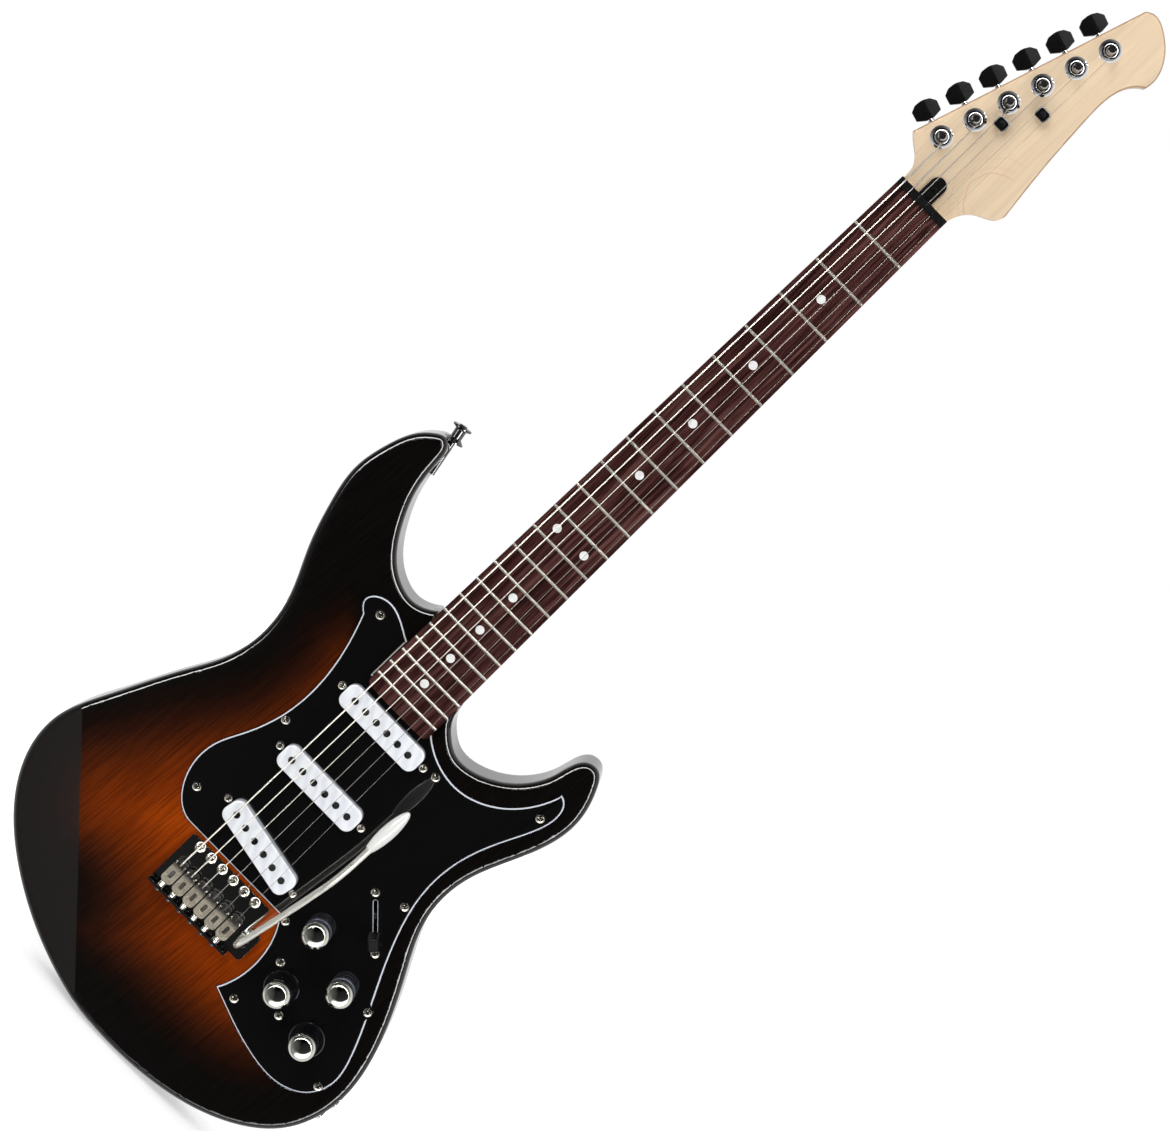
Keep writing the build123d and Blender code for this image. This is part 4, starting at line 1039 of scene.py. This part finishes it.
def crossHead(radius, height, shank, length):
    outline = [(radius * out, height * up) for out, up in screwSetup["head"]]
    tip = [(shank * 0.3, -length), (shank, -length + 1.5), (shank, 0)]
    head = turnedPiece(tip + outline, screwSetup["sides"])
    reach, half = radius * screwSetup["recess"], radius * screwSetup["recessWidth"] / 2
    depth = height * screwSetup["recessDepth"]
    for turn in (0, 90):
        blade = block(-reach, reach, -half, half, height - depth, height + depth)
        blade.rotation_euler.z = math.radians(turn)
        applyPlace(blade)
        pick(blade, "VERT", lambda v: v.co.z < height * mm)
        taper = screwSetup["recessTaper"]
        bpy.ops.transform.resize(value=(taper, taper, 1), center_override=(0, 0, 0))
        leaveEdit()
        cutBy(head, blade)
    return head


def makeScrews(name, nodeName, finish, slotName, radius, height, shank, side):
    solids = solidBoxes(nodeName)
    if nodeName == "headstock_screws":
        solids = [box for box in solids if (box[0].y < headSplit) == (side == "front")]
    length = max(high.y - low.y for low, high in solids) / mm - height
    places = []
    for index, (low, high) in enumerate(solids):
        x, z = middleOf(low, high)
        turn = screwSetup["firstTurn"] + screwSetup["nextTurn"] * index
        if side == "front":
            places.append(faceOut(x, low.y + height * mm, z, turn))
        else:
            places.append(backOut(x, high.y - height * mm, z, turn))
    screws = copiesJoined(crossHead(radius, height, shank, length), places)
    replaced = () if name == "headstockBackScrews" else (nodeName,)
    finishPiece(screws, name, finish, "guitar", slotName, *replaced, smoothAngle=14)


for row in screwSets:
    makeScrews(*row)
print("screws driven")


# ---- knobs

knobSetup = {
    "radius": 9.5, "ridges": 60, "ridgeDepth": 0.975, "capHeight": 5.2, "guardTop": -0.0023,
    "knobs": (("volume_knob", 20.0), ("tone_knob", 20.0), ("model_knob", 26.0), ("tuning_knob", 26.0)),
    "knurled": ("volume_knob", "tone_knob"),
    # a broad bright bevel and a fine groove, as distances in from the rim and down from the top
    "rim": (
        (0.4, 5.2), (0, 4.9), (0, 3.2), (0.2, 2.9), (2.0, 1.1), (2.3, 0.95), (2.55, 1.15),
    ),
    "domeEdge": 2.6, "domeBow": 17, "domeShares": (1.0, 0.84, 0.68, 0.52, 0.36, 0.2, 0.08),
    "shaft": (3.0, -14.8),
}


def domeRings(height, rim):
    rings = [(rim - inwards, height - down) for inwards, down in knobSetup["rim"]]
    bow = math.radians(knobSetup["domeBow"])
    sphere = (rim - knobSetup["domeEdge"]) / math.sin(bow)
    for share in knobSetup["domeShares"]:
        angle = bow * share
        rings.append((sphere * math.sin(angle), height - sphere * (1 - math.cos(angle))))
    return rings


def knurledBarrel(radius, shoulder):
    # two knurled bands with a groove between them
    foot = 0.8
    middle = (foot + shoulder) / 2
    ridges = knobSetup["ridges"]
    barrel = turnedPiece([
        (radius - 0.4, foot), (radius, foot + 0.4), (radius, middle - 0.75), (radius - 0.55, middle - 0.45),
        (radius - 0.55, middle + 0.45), (radius, middle + 0.75), (radius, shoulder - 0.4), (radius - 0.4, shoulder),
    ], ridges * 2)

    def isValley(v):
        number = round(math.atan2(v.co.y, v.co.x) / (math.pi / ridges))
        return number % 2 == 0 and math.hypot(v.co.x, v.co.y) > (radius - 0.2) * mm

    pick(barrel, "VERT", isValley)
    depth = knobSetup["ridgeDepth"]
    bpy.ops.transform.resize(value=(depth, depth, 1), center_override=(0, 0, 0))
    leaveEdit()
    return barrel, foot


def smoothBarrel(radius, shoulder):
    foot = 2.3
    barrel = turnedPiece([
        (radius - 0.3, foot), (radius, foot + 0.4), (radius, shoulder - 3.2), (radius - 0.25, shoulder - 3.0),
        (radius - 0.25, shoulder - 2.5), (radius, shoulder - 2.3), (radius, shoulder - 0.4), (radius - 0.4, shoulder),
    ], 96)
    return barrel, foot


def makeKnob(nodeName, height):
    x, z = middleOf(*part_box(nodeName))
    radius = knobSetup["radius"]
    shoulder = height - knobSetup["capHeight"]
    place = faceOut(x, knobSetup["guardTop"], z)
    isKnurled = nodeName in knobSetup["knurled"]
    barrel, foot = (knurledBarrel if isKnurled else smoothBarrel)(radius, shoulder)
    shaftRadius, shaftEnd = knobSetup["shaft"]
    barrel = joined([barrel, turnedPiece([(shaftRadius, shaftEnd), (shaftRadius, foot + 1)], 32)])
    barrel.matrix_world = place
    look = ("knurledBlack", "knurled_black", 18) if isKnurled else ("glossBlack", "black_plastic", 35)
    finish, slotName, angle = look
    finishPiece(barrel, nodeName + "Barrel", finish, nodeName, slotName, nodeName, smoothAngle=angle)
    cap = turnedPiece(domeRings(height, radius - 0.25), 72)
    cap.matrix_world = place
    finishPiece(cap, nodeName + "Cap", "domeChrome", nodeName, "chrome", smoothAngle=22)


for nodeName, height in knobSetup["knobs"]:
    makeKnob(nodeName, height)
print("knobs turned")


# ---- tuners

tunerSetup = {
    "first": (-0.0212, 0.0, 0.0414), "pitch": 0.0241, "lean": 17.4, "headFace": 0.0016, "shaftY": 0.0205,
    "post": [(3.0, -20.3), (3.0, 4.0), (2.35, 5.0), (2.35, 8.6), (3.0, 9.6), (3.0, 13.5), (2.8, 14.1), (2.2, 14.5)],
    "slot": (-0.7, 0.7, -5, 5, 9.5, 17.5), "firstTurn": 12, "nextTurn": -9,
    "bushing": [
        (4.9, -9.0), (4.9, 0.0), (7.5, 0.0), (7.6, 0.6), (7.45, 0.75), (5.9, 1.95), (5.7, 2.05), (4.6, 2.1), (4.4, 2.6),
        (4.2, 2.85), (3.5, 2.9),
    ],
    # the button's outline, from its shaft end to its crown, as half width and distance out
    "button": [(2.6, 14.0), (8.8, 16.5), (9.0, 23.2), (5.4, 26.4), (1.3, 27.3)],
    "buttonHalf": 3.9, "buttonEase": (0.45, 2, 12),
    # both broad faces fall away by the flank, from the ridge to the widest part
    "ridge": 1.3, "widest": 9.0, "flank": 2.2,
    "shaft": [(2.5, 0), (2.5, 8.4), (1.9, 8.8), (1.9, 11.0)], "shaftStart": 4.4,
}


def tunerPlace(index):
    lean = rotation(tunerSetup["lean"], "Y")
    return Matrix.Translation(tunerSetup["first"]) @ lean @ Matrix.Translation((0, 0, index * tunerSetup["pitch"]))


def makePosts():
    post = turnedPiece(tunerSetup["post"], 40)
    cutBy(post, block(*tunerSetup["slot"]))
    for index in range(6):
        turn = tunerSetup["firstTurn"] + tunerSetup["nextTurn"] * index
        twin = twinAt(post, tunerPlace(index) @ faceOut(0, tunerSetup["headFace"], 0, turn))
        nodeName = f"tuner_post_{index + 1}"
        finishPiece(twin, nodeName + "Turned", "chrome", nodeName, "chrome", nodeName, smoothAngle=15)
    bpy.data.objects.remove(post)


def makeBushings():
    places = [tunerPlace(index) @ faceOut(0, tunerSetup["headFace"], 0) for index in range(6)]
    bushings = copiesJoined(turnedPiece(tunerSetup["bushing"], 56), places)
    finishPiece(bushings, "tunerBushingsTurned", "chrome", "guitar", "chrome", "tuner_bushings", smoothAngle=15)


def buttonGrip():
    sides = [(half, out) for half, out in tunerSetup["button"]]
    outline = sides + [(-half, out) for half, out in sides[::-1]]
    clearSelection()
    bpy.ops.mesh.primitive_circle_add(vertices=len(outline), radius=1, fill_type="NGON")
    button = bpy.context.object
    thick, ridge = tunerSetup["buttonHalf"], tunerSetup["ridge"] * mm
    for vertex, (side, out) in zip(button.data.vertices, outline):
        vertex.co = (side * mm, out * mm, -thick * mm)
    editAll(button)
    bpy.ops.mesh.extrude_region_move(TRANSFORM_OT_translate={"value": (0, 0, thick * 2 * mm)})
    bpy.ops.mesh.select_all(action="SELECT")
    bpy.ops.mesh.normals_make_consistent(inside=False)
    for cut in (-ridge, ridge):
        bpy.ops.mesh.select_all(action="SELECT")
        bpy.ops.mesh.bisect(plane_co=(cut, 0, 0), plane_no=(1, 0, 0))
    leaveEdit()
    reach = tunerSetup["widest"] * mm
    for vertex in button.data.vertices:
        past = max(0, abs(vertex.co.x) - ridge) / (reach - ridge)
        vertex.co.z -= math.copysign(tunerSetup["flank"] * mm * past, vertex.co.z)
    easeEdges(button, *tunerSetup["buttonEase"])
    return button


def makeButtons():
    grip = buttonGrip()
    shaft = turnedPiece(tunerSetup["shaft"], 24)
    shaft.matrix_world = Matrix.Translation((0, tunerSetup["shaftStart"] * mm, 0)) @ rotation(-90, "X")
    applyPlace(shaft)
    # out along the shaft is the button's own +Y, laid towards -X
    laid = Matrix(((0, -1, 0, 0), (0, 0, -1, tunerSetup["shaftY"]), (1, 0, 0, 0), (0, 0, 0, 1)))
    for index in range(6):
        place = tunerPlace(index) @ laid
        nodeName = f"tuner_button_{index + 1}"
        finishPiece(
            twinAt(grip, place), nodeName + "Grip", "buttonPlastic", nodeName, "black_plastic", nodeName,
            smoothAngle=30, weighted=True,
        )
        finishPiece(
            twinAt(shaft, place), nodeName + "Shaft", "chrome", nodeName, "chrome", smoothAngle=30, weighted=True
        )
    bpy.data.objects.remove(grip)
    bpy.data.objects.remove(shaft)


treeSetup = {
    "wide": 9.4, "deep": 7.9, "tall": 4.2, "corner": 2.2, "under": -0.0022,
    "crownIn": 1.3, "crownUp": 0.35, "ease": (0.5, 3, 40), "collar": [(2.6, -3.8), (2.6, 0.4)],
    "spots": ((-0.00024, 0.0743), (0.01391, 0.0970)),
}


def makeTrees():
    # a rounded block with a low crown, held off the head by a collar
    wide, deep = treeSetup["wide"] / 2, treeSetup["deep"] / 2
    tree = block(-wide, wide, -deep, deep, 0, treeSetup["tall"], treeSetup["corner"])
    pick(tree, "FACE", lambda face: face.normal.z > 0.9)
    bpy.ops.mesh.inset(thickness=treeSetup["crownIn"] * mm)
    bpy.ops.transform.translate(value=(0, 0, treeSetup["crownUp"] * mm))
    leaveEdit()
    easeEdges(tree, *treeSetup["ease"])
    tree = joined([tree, turnedPiece(treeSetup["collar"], 28)])
    trees = copiesJoined(tree, [faceOut(x, treeSetup["under"], z) for x, z in treeSetup["spots"]])
    finishPiece(
        trees, "stringTreePair", "glossBlack", "guitar", "black_plastic", "string_trees",
        smoothAngle=35, weighted=True,
    )


makePosts()
makeTrees()
makeBushings()
makeButtons()
print("tuners made")


# ---- bridge

bridgeSetup = {
    # the saddle, made 7 mm tall round its own middle, in millimetres
    "half": 4.65, "length": 9.5, "tall": 7, "corner": 3.0, "tray": (3.4, -8.3, 2.2, 0.55, 2.0),
    "stringHole": (-1.4, 1.4, -6.2, 0.6, 1.5, 8, 1.3), "shoulder": (1.6, 6, 3.4, 10, 4.6, 8),
    "screwSpread": 3.3, "screwFront": 5.9, "screwBore": [(1.3, 3.0), (1.3, 8.0)], "saddleEase": (0.3, 2, 50),
    "socket": [(1.1, 0), (1.1, 7.9), (0.95, 8.3)], "socketHole": [(0.62, 7.0), (0.62, 9.0)],
    "driver": (2.3, 2.2, 1.1, 18.5), "driverTurn": 0.4, "driverY": -0.009, "driverZ": -0.6757,
    "standing": 0.004,  # a screw that is shorter along Z stands upright
    "wire": 0.36, "coilRadius": 1.92, "coilPitch": 0.94, "coilTurns": 5, "coilTurn": 0.9, "coilZ": -0.6737,
    "plateEase": (0.5, 2, 50),
}


def oneSaddle():
    half, length, tall = bridgeSetup["half"], bridgeSetup["length"], bridgeSetup["tall"]
    saddle = block(-half, half, -length, length, 0, tall, bridgeSetup["corner"])
    trayHalf, trayBack, trayFront, trayDepth, trayCorner = bridgeSetup["tray"]
    cutBy(saddle, block(-trayHalf, trayHalf, trayBack, trayFront, tall - trayDepth, tall + 1, trayCorner))
    cutBy(saddle, block(*bridgeSetup["stringHole"]))
    inner, outer, *rest = bridgeSetup["shoulder"]
    for side in (-1, 1):
        # the shoulders that the height screws stand on
        cutBy(saddle, block(*sorted((side * inner, side * outer)), *rest))
        spread = side * bridgeSetup["screwSpread"]
        cutBy(saddle, turnedPieceAt(bridgeSetup["screwBore"], spread, bridgeSetup["screwFront"]))
    easeEdges(saddle, *bridgeSetup["saddleEase"])
    return saddle


def makeSaddles():
    saddle = oneSaddle()
    places = []
    for low, high in sorted(solidBoxes("saddles"), key=lambda box: box[0].x):
        x, z = middleOf(low, high)
        tall = (high.y - low.y) / (bridgeSetup["tall"] * mm)
        places.append(faceOut(x, high.y, z) @ Matrix.Diagonal((1, 1, tall, 1)))
    saddles = copiesJoined(saddle, places)
    finishPiece(
        saddles, "saddleBlocks", "warmNickel", "bridge", "warm_nickel", "saddles", smoothAngle=45, weighted=True
    )


def makeSaddleScrews():
    # socket screws set the height, and cross-head screws in their springs set the length
    socket = turnedPiece(bridgeSetup["socket"], 24)
    top = bridgeSetup["socket"][-1][1] * mm
    cutBy(socket, turnedPieceAt(bridgeSetup["socketHole"], 0, 0, 6))
    spots, lengths = [], []
    for low, high in sorted(solidBoxes("saddle_screws"), key=lambda box: box[0].x):
        x, z = middleOf(low, high)
        if high.z - low.z < bridgeSetup["standing"]:
            spots.append(faceOut(x, low.y + top, z))
        else:
            lengths.append(x)
    sockets = copiesJoined(socket, spots)

    def alongZ(z, tilt, turn):
        places = [Matrix.Translation((x, bridgeSetup["driverY"], z)) @ rotation(tilt, "X") for x in lengths]
        return [place @ Matrix.Rotation(turn * i, 4, "Z") for i, place in enumerate(places)]

    driver = crossHead(*bridgeSetup["driver"])
    drivers = copiesJoined(driver, alongZ(bridgeSetup["driverZ"], 180, bridgeSetup["driverTurn"]))
    finishPiece(sockets, "heightScrewSet", "brightSteel", "bridge", "steel", "saddle_screws", smoothAngle=30)
    finishPiece(drivers, "lengthScrewSet", "darkNickel", "bridge", "steel", smoothAngle=30)

    clearSelection()
    bpy.ops.mesh.primitive_circle_add(
        vertices=8, radius=bridgeSetup["wire"] * mm, location=(bridgeSetup["coilRadius"] * mm, 0, 0),
        rotation=(math.radians(90), 0, 0),
    )
    coil = applyPlace(bpy.context.object)
    pitch, turns = bridgeSetup["coilPitch"] * mm, bridgeSetup["coilTurns"]
    applyModifier(coil, "SCREW", axis="Z", screw_offset=pitch, iterations=turns, steps=14, render_steps=14)
    weld(coil)
    bpy.ops.mesh.fill_holes(sides=8)
    bpy.ops.mesh.normals_make_consistent(inside=False)
    leaveEdit()
    coils = copiesJoined(coil, alongZ(bridgeSetup["coilZ"], 0, bridgeSetup["coilTurn"]))
    finishPiece(coils, "intonationCoils", "brightSteel", "bridge", "steel", "intonation_springs", smoothAngle=50)


def makePlate():
    plate = copyOfNode("bridge_plate")
    dissolveFlats(plate, 1)
    easeEdges(plate, *bridgeSetup["plateEase"])
    finishPiece(
        plate, "bridgePlateBevelled", "plateChrome", "bridge", "chrome", "bridge_plate",
        smoothAngle=45, weighted=True,
    )


makeSaddles()
makeSaddleScrews()
makePlate()
print("bridge made")


# ---- tremolo arm and its tip

armSetup = {
    "points": [
        (37.5, 12, -661.5), (37.5, -14, -661.5), (37.5, -27.5, -661.0), (42.5, -40, -630), (47.6, -54.5, -596),
        (51.2, -64.0, -570), (51.8, -68.2, -540), (52.45, -71.5, -512),
    ],
    "radius": 2.25, "order": 3, "smoothness": 14, "sides": 10,
    "tipStart": (51.55, -67.2, -541.0), "tipRun": (2, -10, 71),
    "tip": [
        (2.4, 0.0), (2.9, 0.25), (3.2, 1.0), (3.8, 4.0), (4.6, 9.5), (5.0, 16.0), (4.9, 21.5), (4.3, 27.0), (3.4, 31.5),
        (2.4, 34.6), (1.4, 36.3), (0.5, 37.0),
    ],
}


def makeArm():
    clearSelection()
    points = armSetup["points"]
    bpy.ops.curve.primitive_nurbs_path_add(radius=1)
    arm = bpy.context.object
    spline = arm.data.splines[0]
    spline.points.add(len(points) - len(spline.points))
    for point, (x, y, z) in zip(spline.points, points):
        point.co = (x * mm, y * mm, z * mm, 1)
    spline.order_u, spline.use_endpoint_u = armSetup["order"], True
    arm.data.bevel_depth, arm.data.bevel_resolution = armSetup["radius"] * mm, armSetup["sides"]
    arm.data.resolution_u, arm.data.use_fill_caps = armSetup["smoothness"], True
    focus(arm)
    bpy.ops.object.convert(target="MESH")
    arm = bpy.context.object
    weld(arm)
    bpy.ops.mesh.normals_make_consistent(inside=False)
    leaveEdit()
    finishPiece(arm, "armRod", "satinNickel", "arm", "satin_nickel", "tremolo_arm", smoothAngle=40)
    tip = turnedPiece(armSetup["tip"], 48)
    run = Vector(armSetup["tipRun"]).normalized().to_track_quat("Z", "Y").to_matrix().to_4x4()
    tip.matrix_world = Matrix.Translation(Vector(armSetup["tipStart"]) * mm) @ run
    finishPiece(tip, "armTipTurned", "creamPlastic", "arm", "cream_plastic", "arm_tip", smoothAngle=40)


makeArm()
print("tremolo arm bent")


# ---- strings and the springs that the bridge pulls

blendSetup = (  # node, piece, finish, slot, first cut, distance between cuts, where the bend starts and ends
    ("strings", "stringSet", "stringMetal", "string_wire", -0.618, 0.004, (0, -0.014, -0.622), (0, -0.014, -0.648)),
    ("tremolo_springs", "blockSprings", "steel", "steel", -0.573, 0.008, (0, 0.0355, -0.570), (0, 0.0355, -0.6415)),
)
blendCuts, blendSmooth = 9, 50


def makeBlended(nodeName, name, finish, slotName, firstCut, step, start, end):
    # the part that the bridge moves is divided finely, with cuts across Z
    piece = copyOfNode(nodeName)
    focus(piece)
    bpy.ops.object.mode_set(mode="EDIT")
    for cut in range(blendCuts):
        bpy.ops.mesh.select_all(action="SELECT")
        bpy.ops.mesh.bisect(plane_co=(0, 0, firstCut - step * cut), plane_no=(0, 0, 1))
    leaveEdit()
    piece.name = piece.data.name = name
    bpy.ops.object.shade_smooth_by_angle(angle=math.radians(blendSmooth))
    piece.data.materials.clear()
    piece.data.materials.append(finishes[finish])
    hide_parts(nodeName)
    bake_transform(piece)
    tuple(start)
    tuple(end)


for row in blendSetup:
    makeBlended(*row)
print("strings and block springs on")


# ---- floor

floorSetup = {
    "radius": 1.6, "level": -0.7815, "lift": 0.42,
    "matt": {"Base Color": (0.90, 0.90, 0.90, 1), "Roughness": 0.9, "Specular IOR Level": 0.0},
}


def makeFloor():
    clearSelection()
    middle = (0, 0, floorSetup["level"])
    bpy.ops.mesh.primitive_circle_add(vertices=96, radius=floorSetup["radius"], fill_type="NGON", location=middle)
    floor = applyPlace(bpy.context.object)
    floor.name = "paleFloor"
    shader, spot = newFinish("paleFloor", floorSetup["matt"])
    # the camera sees it lifted to white where the light reaches it, with the shadow under the guitar
    rays = addNode("LightPath").outputs
    lift = addMath("MULTIPLY", rays["Is Camera Ray"], floorSetup["lift"])
    white = addNode("Emission", {"Color": (1, 1, 1, 1), "Strength": lift}).outputs[0]
    lifted = addNode("AddShader", {0: shader.outputs[0], 1: white}).outputs[0]
    paleFloor = finishes["paleFloor"]
    link(lifted, paleFloor.node_tree.nodes["Material Output"].inputs["Surface"])
    floor.data.materials.append(paleFloor)
    floor.visible_glossy = floor.visible_shadow = floor.visible_diffuse = False


makeFloor()
